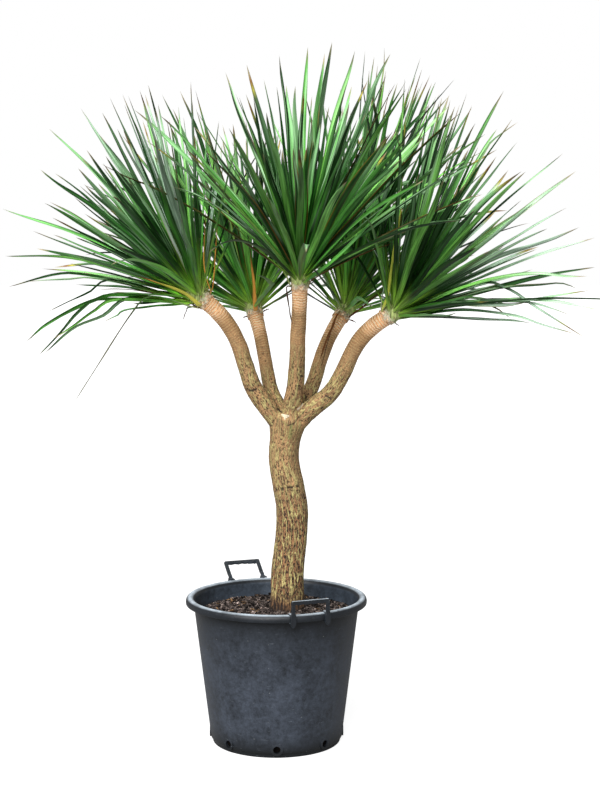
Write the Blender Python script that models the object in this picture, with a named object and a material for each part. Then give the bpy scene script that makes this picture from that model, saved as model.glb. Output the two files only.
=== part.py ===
"""Potted dragon tree: a bent trunk with five heads of sword-shaped leaves, in a round nursery tub.

Metres, +Z up. The origin is on the floor, at the middle of the tub's base. -Y is the front.
"""

import math
import random

import bmesh
import bpy
from mathutils import Matrix, Vector
from mathutils.bvhtree import BVHTree

# Touching solids keep this gap.
GAP = 0.0003

# Tub: a moulded bucket with a rolled lip, a stepped foot and drain holes in bosses round the foot.
TUB_HEIGHT = 0.405
LIP_RADIUS = 0.250
LIP_DEPTH = 0.0200
LIP_SKIN = 0.0045
WALL_TOP_RADIUS = 0.2278
BASE_RADIUS = 0.1818
FOOT_RADIUS = 0.1765
FOOT_HEIGHT = 0.011
WALL = 0.0045
FLOOR = 0.005
TUB_SIDES = 36
DRAIN_COUNT = 8
DRAIN_RADIUS = 0.010
DRAIN_HEIGHT = 0.0245
BOSS_RADIUS = 0.0165
BOSS_PROUD = 0.0018

# Handles: a grip on two legs, each leg clipped round the lip.
HANDLE_WIDTH = 0.108
HANDLE_THICK = 0.007
GRIP_HEIGHT = 0.0095
LEG_WIDTH = 0.010
CLIP_WIDTH = 0.015
CLIP_SKIN = 0.0035
FINGER_WAVE = 0.0012
FINGER_COUNT = 4
# Turn about Z, rise above the lip, lean outwards.
HANDLES = {
    "handle_front": (math.radians(21.8), 0.039, math.radians(1)),
    "handle_back": (math.radians(201), 0.064, math.radians(51)),
}

# Soil: fills the tub to this level and heaps up a little round the trunk.
SOIL_LEVEL = 0.358
SOIL_HEAP = 0.010
SOIL_LUMP = 0.0035
SOIL_SIDES = 28
SOIL_RINGS = 6
ROOT_DEPTH = 0.16
ROOT_RADIUS = 0.0465
HOLE_RADIUS = 0.0522
FOOT_CENTRE = (0.031, 0.025)

# Trunk and branches: (x, y, z, radius) along each axis, from below upwards.
TRUNK_LINE = (
    (0.031, 0.025, 0.345, 0.0487),
    (0.031, 0.024, 0.392, 0.0462),
    (0.033, 0.022, 0.476, 0.0448),
    (0.042, 0.020, 0.565, 0.0438),
    (0.043, 0.017, 0.640, 0.0435),
    (0.034, 0.013, 0.700, 0.0428),
    (0.021, 0.008, 0.780, 0.0412),
    (0.024, 0.004, 0.840, 0.0425),
    (0.031, 0.002, 0.885, 0.0500),
    (0.034, 0.002, 0.912, 0.0440),
)
BRANCH_LINES = {
    "left": (
        (0.020, -0.004, 0.868, 0.026),
        (-0.018, -0.012, 0.921, 0.0262),
        (-0.060, -0.018, 0.980, 0.0240),
        (-0.083, -0.022, 1.045, 0.0222),
        (-0.101, -0.028, 1.102, 0.0215),
        (-0.128, -0.034, 1.153, 0.0218),
        (-0.160, -0.040, 1.192, 0.0222),
        (-0.187, -0.045, 1.216, 0.0220),
    ),
    "back_left": (
        (0.026, 0.012, 0.880, 0.024),
        (0.006, 0.034, 0.925, 0.0215),
        (-0.016, 0.062, 0.972, 0.0200),
        (-0.030, 0.090, 1.040, 0.0190),
        (-0.040, 0.112, 1.092, 0.0188),
        (-0.050, 0.133, 1.135, 0.0195),
        (-0.059, 0.150, 1.168, 0.0205),
    ),
    "centre": (
        (0.036, -0.004, 0.880, 0.028),
        (0.042, -0.012, 0.925, 0.0262),
        (0.052, -0.030, 0.980, 0.0238),
        (0.057, -0.052, 1.045, 0.0222),
        (0.059, -0.074, 1.115, 0.0208),
        (0.063, -0.096, 1.190, 0.0202),
        (0.065, -0.116, 1.256, 0.0212),
    ),
    "back_right": (
        (0.046, 0.012, 0.880, 0.025),
        (0.072, 0.034, 0.930, 0.0215),
        (0.100, 0.062, 0.982, 0.0205),
        (0.120, 0.090, 1.042, 0.0198),
        (0.137, 0.113, 1.089, 0.0195),
        (0.157, 0.132, 1.128, 0.0200),
        (0.178, 0.150, 1.163, 0.0208),
    ),
    "right": (
        (0.044, -0.004, 0.872, 0.027),
        (0.092, -0.010, 0.921, 0.0262),
        (0.146, -0.015, 0.965, 0.0238),
        (0.181, -0.020, 1.022, 0.0226),
        (0.205, -0.025, 1.076, 0.0222),
        (0.232, -0.031, 1.119, 0.0226),
        (0.264, -0.037, 1.151, 0.0228),
        (0.294, -0.042, 1.173, 0.0225),
    ),
}
TRUNK_SIDES = 16
BRANCH_SIDES = 12
TRUNK_STEPS = 16
BRANCH_STEPS = 11

# Heads: the way each tuft faces, its longest leaf and its number of green leaves.
# They grow in this order, each clear of those before it.
HEADS = {
    "centre": ((0.13, -0.27, 0.95), 0.655, 62),
    "left": ((-0.62, -0.13, 0.77), 0.620, 64),
    "right": ((0.57, -0.12, 0.81), 0.675, 62),
    "back_left": ((-0.20, 0.40, 0.89), 0.620, 54),
    "back_right": ((0.26, 0.37, 0.89), 0.690, 54),
}
GOLDEN_ANGLE = math.radians(137.508)
LEAF_SPREAD = math.radians(60)
LEAF_WIDTH = 0.0235
LEAF_THICK = 0.0026
LEAF_STATIONS = (0.0, 0.32, 0.66, 1.0)
# A leaf's width along its length, as (share of length, share of greatest width).
LEAF_SHAPE = (
    (0.0, 0.66), (0.08, 0.72), (0.20, 0.97), (0.36, 1.0),
    (0.60, 0.86), (0.80, 0.58), (0.92, 0.30), (1.0, 0.0),
)
OUTER_STATIONS = (0.0833, 0.32, 0.66, 1.0)
LINE_STEPS = 24
LEAF_TRIES = 26
CLEARANCE = 0.0011
CROWN_RADIUS = 0.0255
CROWN_HEIGHT = 0.062

# Collars: the ring of old leaf bases under each tuft, with the dry leaves that still hang on it.
COLLAR_HEIGHT = 0.013
COLLAR_PROUD = 0.0022
DRY_STATIONS = (0.0, 0.0833, 0.36, 0.68, 1.0)
DRY_LEAVES = {
    "left": (
        (0.0075, ((-0.188, -0.066, 1.290), (-0.191, -0.070, 1.356), (-0.182, -0.080, 1.485))),
        (0.0070, ((-0.167, -0.052, 1.268), (-0.162, -0.054, 1.333), (-0.152, -0.062, 1.459))),
        (0.0150, (
            (-0.240, -0.075, 1.238), (-0.301, -0.090, 1.265), (-0.385, -0.110, 1.288),
            (-0.451, -0.125, 1.268),
        )),
        (0.0090, (
            (-0.240, -0.050, 1.222), (-0.332, -0.052, 1.240), (-0.400, -0.055, 1.250),
            (-0.483, -0.060, 1.250),
        )),
        (0.0070, (
            (-0.236, -0.072, 1.207), (-0.333, -0.078, 1.232), (-0.388, -0.080, 1.180),
            (-0.469, -0.084, 1.057), (-0.538, -0.086, 0.948),
        )),
        (0.0075, ((-0.228, -0.062, 1.212), (-0.240, -0.068, 1.190), (-0.248, -0.070, 1.166))),
    ),
    "back_left": (
        (0.0120, ((-0.060, 0.112, 1.215), (-0.064, 0.100, 1.283), (-0.075, 0.088, 1.369))),
    ),
    "centre": (
        (0.0050, (
            (0.095, -0.142, 1.276), (0.157, -0.165, 1.312), (0.241, -0.190, 1.351),
            (0.310, -0.210, 1.376),
        )),
        (0.0080, (
            (0.030, -0.132, 1.258), (0.033, -0.128, 1.226), (0.039, -0.121, 1.185),
            (0.046, -0.113, 1.156),
        )),
        (0.0110, (
            (0.020, -0.150, 1.302), (-0.053, -0.190, 1.368), (-0.141, -0.225, 1.458),
            (-0.216, -0.250, 1.528),
        )),
    ),
    "back_right": (
        (0.0080, ((0.205, 0.130, 1.168), (0.244, 0.115, 1.198), (0.294, 0.098, 1.241))),
        (0.0060, (
            (0.166, 0.118, 1.166), (0.155, 0.106, 1.140), (0.141, 0.087, 1.110), (0.128, 0.068, 1.070),
            (0.118, 0.056, 1.048),
        )),
    ),
    "right": (
        (0.0170, (
            (0.298, -0.082, 1.235), (0.305, -0.092, 1.296), (0.324, -0.104, 1.425),
            (0.338, -0.110, 1.490),
        )),
        (0.0100, ((0.292, -0.060, 1.290), (0.269, -0.058, 1.344), (0.232, -0.050, 1.402))),
    ),
}
MORE_DRY = 2
DRY_SEED = 71
GREEN_SEED = 1009


def colour(red, green, blue):
    return (red, green, blue, 1.0)


def finish(name, rgba, roughness, metallic=0.0):
    made = bpy.data.materials.new(name)
    made.use_nodes = True
    shader = made.node_tree.nodes["Principled BSDF"]
    shader.inputs["Base Color"].default_value = rgba
    shader.inputs["Roughness"].default_value = roughness
    shader.inputs["Metallic"].default_value = metallic
    made.diffuse_color = rgba
    return made


def place(name, mesh, material=None):
    made = bpy.data.objects.new(name, mesh)
    bpy.context.scene.collection.objects.link(made)
    if material:
        mesh.materials.clear()
        mesh.materials.append(material)
    return made


def mesh_from(name, points, faces):
    mesh = bpy.data.meshes.new(name)
    mesh.from_pydata([tuple(p) for p in points], [], faces)
    mesh.validate()
    return mesh


def evaluated_mesh(name, obj):
    bpy.context.view_layer.update()
    graph = bpy.context.evaluated_depsgraph_get()
    mesh = bpy.data.meshes.new_from_object(obj.evaluated_get(graph))
    mesh.name = name
    return mesh


def outer_body(mesh):
    """Keeps the largest connected body: a sealed hollow is filled and a loose scrap is dropped."""
    shape = bmesh.new()
    shape.from_mesh(mesh)
    left = set(shape.verts)
    bodies = []
    while left:
        body, edge = set(), [left.pop()]
        while edge:
            vert = edge.pop()
            body.add(vert)
            for joined in vert.link_edges:
                other = joined.other_vert(vert)
                if other in left:
                    left.discard(other)
                    edge.append(other)
        bodies.append(body)
    bodies.sort(key=len, reverse=True)
    for scrap in bodies[1:]:
        bmesh.ops.delete(shape, geom=list(scrap), context="VERTS")
    bmesh.ops.triangulate(shape, faces=shape.faces)
    shape.to_mesh(mesh)
    shape.free()
    return mesh


def joined(name, first, others, operation="UNION", solver="EXACT"):
    """One Boolean of a collection on the first object, applied, with the collection's objects removed."""
    group = bpy.data.collections.new(name + "_pieces")
    bpy.context.scene.collection.children.link(group)
    for other in others:
        bpy.context.scene.collection.objects.unlink(other)
        group.objects.link(other)
    step = first.modifiers.new("join", "BOOLEAN")
    step.operation = operation
    step.operand_type = "COLLECTION"
    step.collection = group
    step.solver = solver
    mesh = evaluated_mesh(name, first)
    for spare in [first, *others]:
        bpy.data.objects.remove(spare)
    bpy.data.collections.remove(group)
    return mesh


def turned(name, profile, sides):
    """A solid of revolution about Z from (radius, z) points that start and end on the axis."""
    shape = bmesh.new()
    verts = [shape.verts.new((radius, 0, z)) for radius, z in profile]
    edges = [shape.edges.new(pair) for pair in zip(verts, verts[1:])]
    bmesh.ops.spin(
        shape, geom=verts + edges, cent=(0, 0, 0), axis=(0, 0, 1),
        angle=math.tau, steps=sides, use_merge=True,
    )
    bmesh.ops.remove_doubles(shape, verts=shape.verts, dist=1e-5)
    bmesh.ops.recalc_face_normals(shape, faces=shape.faces)
    mesh = bpy.data.meshes.new(name)
    shape.to_mesh(mesh)
    shape.free()
    return mesh


def drum(name, radius, depth, sides, matrix):
    shape = bmesh.new()
    bmesh.ops.create_cone(
        shape, cap_ends=True, segments=sides, radius1=radius, radius2=radius, depth=depth, matrix=matrix
    )
    mesh = bpy.data.meshes.new(name)
    shape.to_mesh(mesh)
    shape.free()
    return place(name, mesh)


def slab(name, outline, thick, matrix):
    """A flat outline in the (u, v) plane, pushed out by thick along w, then moved by matrix."""
    shape = bmesh.new()
    face = shape.faces.new([shape.verts.new((u, v, 0)) for u, v in outline])
    pushed = bmesh.ops.extrude_face_region(shape, geom=[face])
    top = [item for item in pushed["geom"] if isinstance(item, bmesh.types.BMVert)]
    bmesh.ops.translate(shape, verts=top, vec=(0, 0, thick))
    bmesh.ops.recalc_face_normals(shape, faces=shape.faces)
    bmesh.ops.transform(shape, matrix=matrix, verts=shape.verts)
    if matrix.determinant() < 0:
        bmesh.ops.reverse_faces(shape, faces=shape.faces)
    mesh = bpy.data.meshes.new(name)
    shape.to_mesh(mesh)
    shape.free()
    return place(name, mesh)


def wall_inner(z):
    """Inner radius of the tub's wall at a height."""
    top = TUB_HEIGHT - LIP_DEPTH
    share = (z - FOOT_HEIGHT) / (top - FOOT_HEIGHT)
    return BASE_RADIUS + share * (WALL_TOP_RADIUS - BASE_RADIUS) - WALL


def inner_foot():
    """The bucket's inner profile near the floor, from the floor upwards."""
    return [
        (FOOT_RADIUS - WALL - 0.004, FLOOR), (FOOT_RADIUS - WALL, FLOOR + 0.005),
        (FOOT_RADIUS - WALL, FOOT_HEIGHT + 0.003), (wall_inner(FOOT_HEIGHT + 0.008), FOOT_HEIGHT + 0.008),
    ]


def make_tub(material):
    """The bucket as one lathe profile, with bosses joined on and drain holes cut through them."""
    skirt = TUB_HEIGHT - LIP_DEPTH
    outside = [
        (0, 0), (FOOT_RADIUS, 0), (FOOT_RADIUS + 0.001, FOOT_HEIGHT), (BASE_RADIUS, FOOT_HEIGHT + 0.0025),
        (WALL_TOP_RADIUS, skirt), (WALL_TOP_RADIUS + 0.003, TUB_HEIGHT - 0.0075),
        (LIP_RADIUS - 0.0105, TUB_HEIGHT - 0.0050), (LIP_RADIUS - LIP_SKIN, TUB_HEIGHT - 0.0105),
        (LIP_RADIUS - LIP_SKIN + 0.0005, skirt), (LIP_RADIUS - 0.0012, skirt),
        (LIP_RADIUS, TUB_HEIGHT - 0.0125), (LIP_RADIUS - 0.0022, TUB_HEIGHT - 0.0052),
        (LIP_RADIUS - 0.0075, TUB_HEIGHT - 0.0008), (LIP_RADIUS - 0.0140, TUB_HEIGHT),
        (LIP_RADIUS - 0.0210, TUB_HEIGHT - 0.0035),
        (wall_inner(skirt) + 0.0010, TUB_HEIGHT - 0.0115), (wall_inner(skirt - 0.004), skirt - 0.004),
    ]
    inside = [*reversed(inner_foot()), (0, FLOOR)]
    bucket = place("bucket", turned("bucket", outside + inside, TUB_SIDES))
    wall_radius = wall_inner(DRAIN_HEIGHT) + WALL
    bosses, drains = [], []
    for number in range(DRAIN_COUNT):
        about = math.tau * number / DRAIN_COUNT - math.pi / 2 + math.radians(1)
        aim = Matrix.Rotation(about, 4, "Z") @ Matrix.Translation((wall_radius, 0, DRAIN_HEIGHT))
        across = aim @ Matrix.Rotation(math.pi / 2, 4, "Y")
        inset = Matrix.Translation((0, 0, BOSS_PROUD / 2 - 0.0012))
        bosses.append(drum("boss", BOSS_RADIUS, BOSS_PROUD + 0.0024, 12, across @ inset))
        drains.append(drum("drain", DRAIN_RADIUS, 0.04, 8, across))
    solid = place("bossed", joined("bossed", bucket, bosses))
    return place("tub", outer_body(joined("tub", solid, drains, "DIFFERENCE")), material)


def handle_outline(rise):
    """Front view of a handle: (u across, v up from the lip's top), grip above and pointed legs below."""
    half = HANDLE_WIDTH / 2
    leg_in = half - LEG_WIDTH
    clip_out = half - LEG_WIDTH / 2 + CLIP_WIDTH / 2
    clip_in = half - LEG_WIDTH / 2 - CLIP_WIDTH / 2
    low, tip = -LIP_DEPTH - 0.0045, -LIP_DEPTH - 0.0125
    middle = half - LEG_WIDTH / 2
    right = [
        (leg_in, rise - GRIP_HEIGHT), (leg_in, 0.016), (leg_in, 0.008), (leg_in, 0.0035),
        (clip_in, -0.004), (clip_in, low), (middle - 0.002, tip), (middle + 0.002, tip),
        (clip_out, low), (clip_out, -0.004), (half, 0.0035), (half, 0.008), (half, 0.016),
        (half, rise - 0.003), (half - 0.003, rise),
    ]
    left = [(-u, v) for u, v in reversed(right)]
    count = FINGER_COUNT * 4
    under = rise - GRIP_HEIGHT
    waves = []
    for k in range(1, count):
        dip = FINGER_WAVE * (math.cos(math.tau * k * FINGER_COUNT / count) - 1)
        waves.append((-leg_in + 2 * leg_in * k / count, under + dip))
    return right + left + waves


def flash_outline(rise):
    """A strip of moulding flash with a torn spur, under one end of a grip."""
    end, near, spur, under = -0.0445, -0.0170, -0.0375, rise - GRIP_HEIGHT
    low = under - 0.0050
    return [
        (end, under + 0.002), (end, low), (spur - 0.0014, low), (spur, low - 0.0065),
        (spur + 0.0014, low), (near, low), (near, under + 0.002),
    ]


def lean_back(mesh, angle):
    """Bends everything above the lip outwards about the top of the clip."""
    hinge_z, soft = TUB_HEIGHT + 0.0035, 0.012
    middle = -seat_depth() - HANDLE_THICK / 2
    for vert in mesh.vertices:
        rise = vert.co.z - hinge_z
        if rise <= 0:
            continue
        turn = angle * min(1.0, rise / soft)
        spin = Matrix.Rotation(turn, 3, "X")
        pivot = Vector((vert.co.x, middle, hinge_z))
        vert.co = pivot + spin @ (vert.co - pivot)


def seat_depth():
    """How far out the back of a flat handle lies, clear of the round lip at the clips' inner edge."""
    inner = HANDLE_WIDTH / 2 - LEG_WIDTH / 2 - CLIP_WIDTH / 2
    return math.sqrt(LIP_RADIUS**2 - inner**2) + GAP


def make_handle(name, material):
    """A grip frame with a clip behind each leg: a toe on the lip's top, and a hook under its edge."""
    turn, rise, lean = HANDLES[name]
    back = seat_depth()
    upright = Matrix(((1, 0, 0, 0), (0, 0, -1, -back), (0, 1, 0, TUB_HEIGHT), (0, 0, 0, 1)))
    frame = slab("frame", handle_outline(rise), HANDLE_THICK, upright)
    lean_back(frame.data, lean)
    edge = -LIP_DEPTH
    hook_in = back - 0.0128
    clip = [
        (back - 0.0155, GAP), (back + 0.001, GAP), (back + 0.001, edge - GAP),
        (hook_in + 0.0043, edge - GAP), (hook_in + 0.0040, edge + 0.0055),
        (hook_in, edge + 0.0055), (hook_in, edge - CLIP_SKIN),
        (back + 0.004, edge - CLIP_SKIN), (back + 0.004, CLIP_SKIN), (back - 0.0155, CLIP_SKIN),
    ]
    clips = []
    if name == "handle_back":
        inside = Matrix.Translation((0, -0.0025, 0)) @ upright
        clips.append(slab("flash", flash_outline(rise), 0.0020, inside))
        lean_back(clips[0].data, lean)
    for side in (-1, 1):
        start = side * (HANDLE_WIDTH / 2 - LEG_WIDTH / 2) - CLIP_WIDTH / 2
        sideways = Matrix(((0, 0, 1, start), (-1, 0, 0, 0), (0, 1, 0, TUB_HEIGHT), (0, 0, 0, 1)))
        clips.append(slab("clip", clip, CLIP_WIDTH, sideways))
    made = place(name, outer_body(joined(name, frame, clips)), material)
    made.rotation_euler.z = turn
    return made


def smooth_line(points, count):
    """Catmull-Rom samples through points of any width."""
    rows = [Vector(p) for p in points]
    rows = [rows[0] * 2 - rows[1], *rows, rows[-1] * 2 - rows[-2]]
    spans = len(rows) - 3
    line = []
    for step in range(count + 1):
        place_on = spans * step / count
        k = min(int(place_on), spans - 1)
        t = place_on - k
        a, b, c, d = rows[k : k + 4]
        bend = (2 * a - 5 * b + 4 * c - d) * t**2 + (3 * b - a - 3 * c + d) * t**3
        line.append(0.5 * (2 * b + (c - a) * t + bend))
    return line


def limb(name, line, sides):
    """A closed tube along (x, y, z, radius) samples, as a bevelled curve turned into a mesh."""
    curve = bpy.data.curves.new(name, "CURVE")
    curve.dimensions = "3D"
    curve.bevel_depth = 1.0
    curve.bevel_resolution = sides // 4 - 1 if sides % 4 == 0 else sides // 4
    curve.use_fill_caps = True
    spline = curve.splines.new("POLY")
    spline.points.add(len(line) - 1)
    for point, (x, y, z, radius) in zip(spline.points, line):
        point.co = (x, y, z, 1)
        point.radius = radius
    guide = place(name + "_axis", curve)
    mesh = evaluated_mesh(name, guide)
    bpy.data.objects.remove(guide)
    shape = bmesh.new()
    shape.from_mesh(mesh)
    bmesh.ops.remove_doubles(shape, verts=shape.verts, dist=1e-5)
    bmesh.ops.recalc_face_normals(shape, faces=shape.faces)
    bmesh.ops.triangulate(shape, faces=shape.faces)
    shape.to_mesh(mesh)
    shape.free()
    return place(name, mesh)


def flute(mesh, centre_line):
    """Shallow upright ridges and dips round a trunk."""
    for vert in mesh.vertices:
        nearest = min(centre_line, key=lambda p: abs(p[2] - vert.co.z))
        out = Vector((vert.co.x - nearest[0], vert.co.y - nearest[1], 0))
        if out.length < nearest[3] * 0.5:
            continue
        about = math.atan2(out.y, out.x)
        ridges = 0.0011 * math.sin(5 * about + 9 * vert.co.z)
        ridges += 0.0007 * math.sin(3 * about - 17 * vert.co.z)
        vert.co += out.normalized() * ridges


def make_trunk(material):
    """Trunk, buried foot and five branches joined in one solid."""
    line = smooth_line(TRUNK_LINE, TRUNK_STEPS)
    buried = (FOOT_CENTRE[0], FOOT_CENTRE[1], SOIL_LEVEL - ROOT_DEPTH, ROOT_RADIUS)
    trunk = limb("bole", line, TRUNK_SIDES)
    flute(trunk.data, line)
    root = limb("root", [Vector(buried), Vector((*FOOT_CENTRE, line[0].z + 0.030, ROOT_RADIUS))], 20)
    branches = [
        limb(name, smooth_line(points, BRANCH_STEPS), BRANCH_SIDES)
        for name, points in BRANCH_LINES.items()
    ]
    return place("trunk", outer_body(joined("trunk", trunk, [root, *branches])), material)


def soil_height(x, y):
    """Crumbly surface that heaps up round the trunk."""
    away = math.hypot(x - FOOT_CENTRE[0], y - FOOT_CENTRE[1])
    heap = SOIL_HEAP * math.exp(-((away / 0.085) ** 2))
    lumps = math.sin(61 * x + 1.3) * math.sin(53 * y + 0.4) + 0.6 * math.sin(113 * x - 89 * y)
    return SOIL_LEVEL + heap + SOIL_LUMP * 0.55 * lumps


def make_soil(material):
    """A plug of soil with a lumpy top, which the trunk's foot stands in through a plain round hole."""
    top_radius = wall_inner(SOIL_LEVEL) - 0.0016
    shape = bmesh.new()
    rings = []

    def ring(radius, height):
        rings.append([
            shape.verts.new((
                radius * math.cos(math.tau * k / SOIL_SIDES),
                radius * math.sin(math.tau * k / SOIL_SIDES),
                height(k, radius),
            ))
            for k in range(SOIL_SIDES)
        ])

    def top(k, radius):
        about = math.tau * k / SOIL_SIDES
        return soil_height(radius * math.cos(about), radius * math.sin(about))

    for radius, z in inner_foot():
        ring(radius - 0.0016, lambda k, r, z=z: z + GAP)
    for share in range(SOIL_RINGS, 0, -1):
        ring(top_radius * share / SOIL_RINGS, top)
    for below, above in zip(rings, rings[1:]):
        bmesh.ops.bridge_loops(shape, edges=[
            shape.edges.get((a, b)) or shape.edges.new((a, b))
            for loop in (below, above)
            for a, b in zip(loop, loop[1:] + loop[:1])
        ])
    shape.faces.new(rings[0][::-1])
    bmesh.ops.poke(shape, faces=[shape.faces.new(rings[-1])])
    bmesh.ops.recalc_face_normals(shape, faces=shape.faces)
    bmesh.ops.triangulate(shape, faces=shape.faces)
    mesh = bpy.data.meshes.new("heap")
    shape.to_mesh(mesh)
    shape.free()
    depth = ROOT_DEPTH + 0.06
    low = SOIL_LEVEL - ROOT_DEPTH - GAP
    bore = drum("stem_hole", HOLE_RADIUS, depth, 24, Matrix.Translation((*FOOT_CENTRE, low + depth / 2)))
    return place("soil", outer_body(joined("soil", place("heap", mesh), [bore], "DIFFERENCE")), material)


def leaf_share(s):
    """Width of a leaf at s, as a share of its greatest width."""
    for (a, wide_a), (b, wide_b) in zip(LEAF_SHAPE, LEAF_SHAPE[1:]):
        if s <= b:
            return wide_a + (wide_b - wide_a) * (s - a) / (b - a)
    return 0.0


def leaf_line(root, heading, side, length, droop, twist):
    """Points, sideways and upward directions along a leaf that bends down under its own weight."""
    point, rows = root.copy(), []
    for step in range(LINE_STEPS + 1):
        s = step / LINE_STEPS
        tangent = (heading - Vector((0, 0, droop * s * s))).normalized()
        across = (side - tangent * side.dot(tangent)).normalized()
        across.rotate(Matrix.Rotation(twist * s, 3, tangent))
        rows.append((point.copy(), across, across.cross(tangent).normalized()))
        point += tangent * length / LINE_STEPS
    return rows


def leaf_solid(rows, width, stations, extra=0.0):
    """A thin blade with a keel under its middle: three corners at each station, drawn out to a point."""
    points, faces = [], [(0, 1, 2)]
    for s in stations[:-1]:
        middle, across, up = rows[round(s * LINE_STEPS)]
        half = across * (width * leaf_share(s) / 2 + extra)
        keel = LEAF_THICK * (1 - 0.45 * s)
        points += [middle - half + up * extra, middle - up * (keel + extra), middle + half + up * extra]
    points.append(rows[-1][0])
    for left in range(0, 3 * (len(stations) - 2), 3):
        under, right = left + 1, left + 2
        faces += [
            (left, right, right + 3), (left, right + 3, left + 3),
            (left, under + 3, under), (left, left + 3, under + 3),
            (under, right + 3, right), (under, under + 3, right + 3),
        ]
    tip = len(points) - 1
    left, under, right = tip - 3, tip - 2, tip - 1
    return points, faces + [(left, right, tip), (left, tip, under), (under, tip, right)]


def head_frame(head):
    """The end of a branch and the way it points there."""
    before, tip = (p.xyz for p in smooth_line(BRANCH_LINES[head], BRANCH_STEPS)[-2:])
    return tip, (tip - before).normalized()


def dry_line(head, points):
    """Rows along a dry leaf, out of the collar and through its points, and its stations there."""
    tip, axis = head_frame(head)
    seat = tip + axis * (GAP + COLLAR_HEIGHT * 0.5)
    radius = BRANCH_LINES[head][-1][3] + COLLAR_PROUD
    away = Vector(points[0]) - seat
    outward = (away - axis * away.dot(axis)).normalized()
    path = [seat + outward * radius * 0.5, seat + outward * (radius + 0.004)]
    path += [Vector(p) for p in points]
    per = 40
    fine = smooth_line(path, per * (len(path) - 1))
    along = [0.0]
    for a, b in zip(fine, fine[1:]):
        along.append(along[-1] + (b - a).length)
    side, rows = axis.cross(outward), []
    for step in range(LINE_STEPS + 1):
        reach = along[-1] * step / LINE_STEPS
        k = min(range(len(fine) - 1), key=lambda n: abs(along[n] - reach))
        tangent = (fine[k + 1] - fine[k]).normalized()
        side = (side - tangent * side.dot(tangent)).normalized()
        rows.append((fine[k].copy(), side.copy(), side.cross(tangent).normalized()))
    rows[-1] = (fine[-1].copy(), *rows[-1][1:])
    marks = [0]
    for number in range(1, len(path) - 1):
        marks.append(max(marks[-1] + 1, round(along[per * number] / along[-1] * LINE_STEPS)))
    return rows, (*(mark / LINE_STEPS for mark in marks), 1.0)


def near_limb(rows, limbs, own):
    """True where a leaf comes too close to the trunk or a branch, other than at its own branch's end."""
    tip = limbs[own][-1]
    for step in range(2, LINE_STEPS + 1):
        point = rows[step][0]
        for name, line in limbs.items():
            for x, y, z, radius in line:
                centre = Vector((x, y, z))
                if name == own and (centre - tip.xyz).length < 0.028:
                    continue
                if (point - centre).length < radius + 0.010:
                    return True
    return False


def stub(name, profile, sides, head, lift):
    """A turned solid set on the end of a branch."""
    tip, axis = head_frame(head)
    mesh = turned(name, profile, sides)
    upright = axis.to_track_quat("Z", "Y").to_matrix().to_4x4()
    mesh.transform(Matrix.Translation(tip + axis * lift) @ upright)
    return mesh


def collar_mesh(head):
    neck = BRANCH_LINES[head][-1][3]
    profile = [
        (0, 0), (neck, 0), (neck + COLLAR_PROUD, 0.005), (neck + COLLAR_PROUD * 0.8, COLLAR_HEIGHT),
        (0, COLLAR_HEIGHT),
    ]
    return stub("collar_" + head, profile, 12, head, GAP)


def crown_mesh(head):
    """The short leafy stem tip that all of a head's green leaves grow from."""
    profile = [
        (0, 0), (CROWN_RADIUS * 0.9, 0), (CROWN_RADIUS, 0.016), (CROWN_RADIUS * 0.78, 0.042),
        (0, CROWN_HEIGHT),
    ]
    return stub("crown_" + head, profile, 8, head, COLLAR_HEIGHT + 2 * GAP)


def tree_of(mesh):
    return BVHTree.FromPolygons([v.co for v in mesh.vertices], [tuple(p.vertices) for p in mesh.polygons])


def leaf_tree(leaf, extra=0.0):
    return BVHTree.FromPolygons(*leaf_solid(*leaf, extra))


def clear_of(tree, others):
    return not any(tree.overlap(other) for other in others)


def other_cores(cores, head):
    return [tree for other in HEADS if other != head for tree in cores[other]]


def grow():
    """Every leaf of every head, dry and green, as (rows, width, stations), grown clear of other heads."""
    limbs = {name: smooth_line(points, 30) for name, points in BRANCH_LINES.items()}
    limbs["bole"] = smooth_line(TRUNK_LINE, 30)
    cores = {head: [tree_of(collar_mesh(head)), tree_of(crown_mesh(head))] for head in HEADS}
    dry = {}
    for head in HEADS:
        lines = [(dry_line(head, points), width) for width, points in DRY_LEAVES[head]]
        dry[head] = [(rows, width, stations) for (rows, stations), width in lines]
    green, taken = {}, []
    for head in HEADS:
        taken += [leaf_tree(leaf, CLEARANCE) for leaf in dry[head]]
    for seed, head in enumerate(HEADS):
        grow_more_dry(head, random.Random(DRY_SEED + seed), dry[head], limbs, cores, taken)
    for seed, head in enumerate(HEADS):
        collar, crown = cores[head]
        rivals = [*taken, *other_cores(cores, head), collar]
        green[head], grown = grow_green(head, random.Random(GREEN_SEED + seed), limbs, rivals)
        taken += grown
    return dry, green


def grow_more_dry(head, draw, leaves, limbs, cores, taken):
    """A few short dry leaves round the back of a collar, hanging outwards."""
    tip, axis = head_frame(head)
    level = Vector((0, 1, 0))
    level = (level - axis * level.dot(axis)).normalized()
    wanted = len(leaves) + MORE_DRY
    for trial in range(40):
        if len(leaves) == wanted:
            break
        outward = level.copy()
        outward.rotate(Matrix.Rotation(draw.uniform(-1.7, 1.7), 3, axis))
        tilt = math.radians(draw.uniform(62, 80))
        heading = axis * math.cos(tilt) + outward * math.sin(tilt)
        seat = tip + axis * (GAP + COLLAR_HEIGHT * 0.5) + outward * 0.012
        length, width = draw.uniform(0.14, 0.30), draw.uniform(0.006, 0.011)
        rows = leaf_line(seat, heading, axis.cross(outward), length, draw.uniform(0.1, 0.6), 0.0)
        leaf = (rows, width, DRY_STATIONS)
        tree = leaf_tree(leaf, CLEARANCE)
        collar, crown = cores[head]
        rivals = [*taken, *other_cores(cores, head), crown]
        if not near_limb(rows, limbs, head) and clear_of(tree, rivals):
            leaves.append(leaf)
            taken.append(tree)


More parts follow.
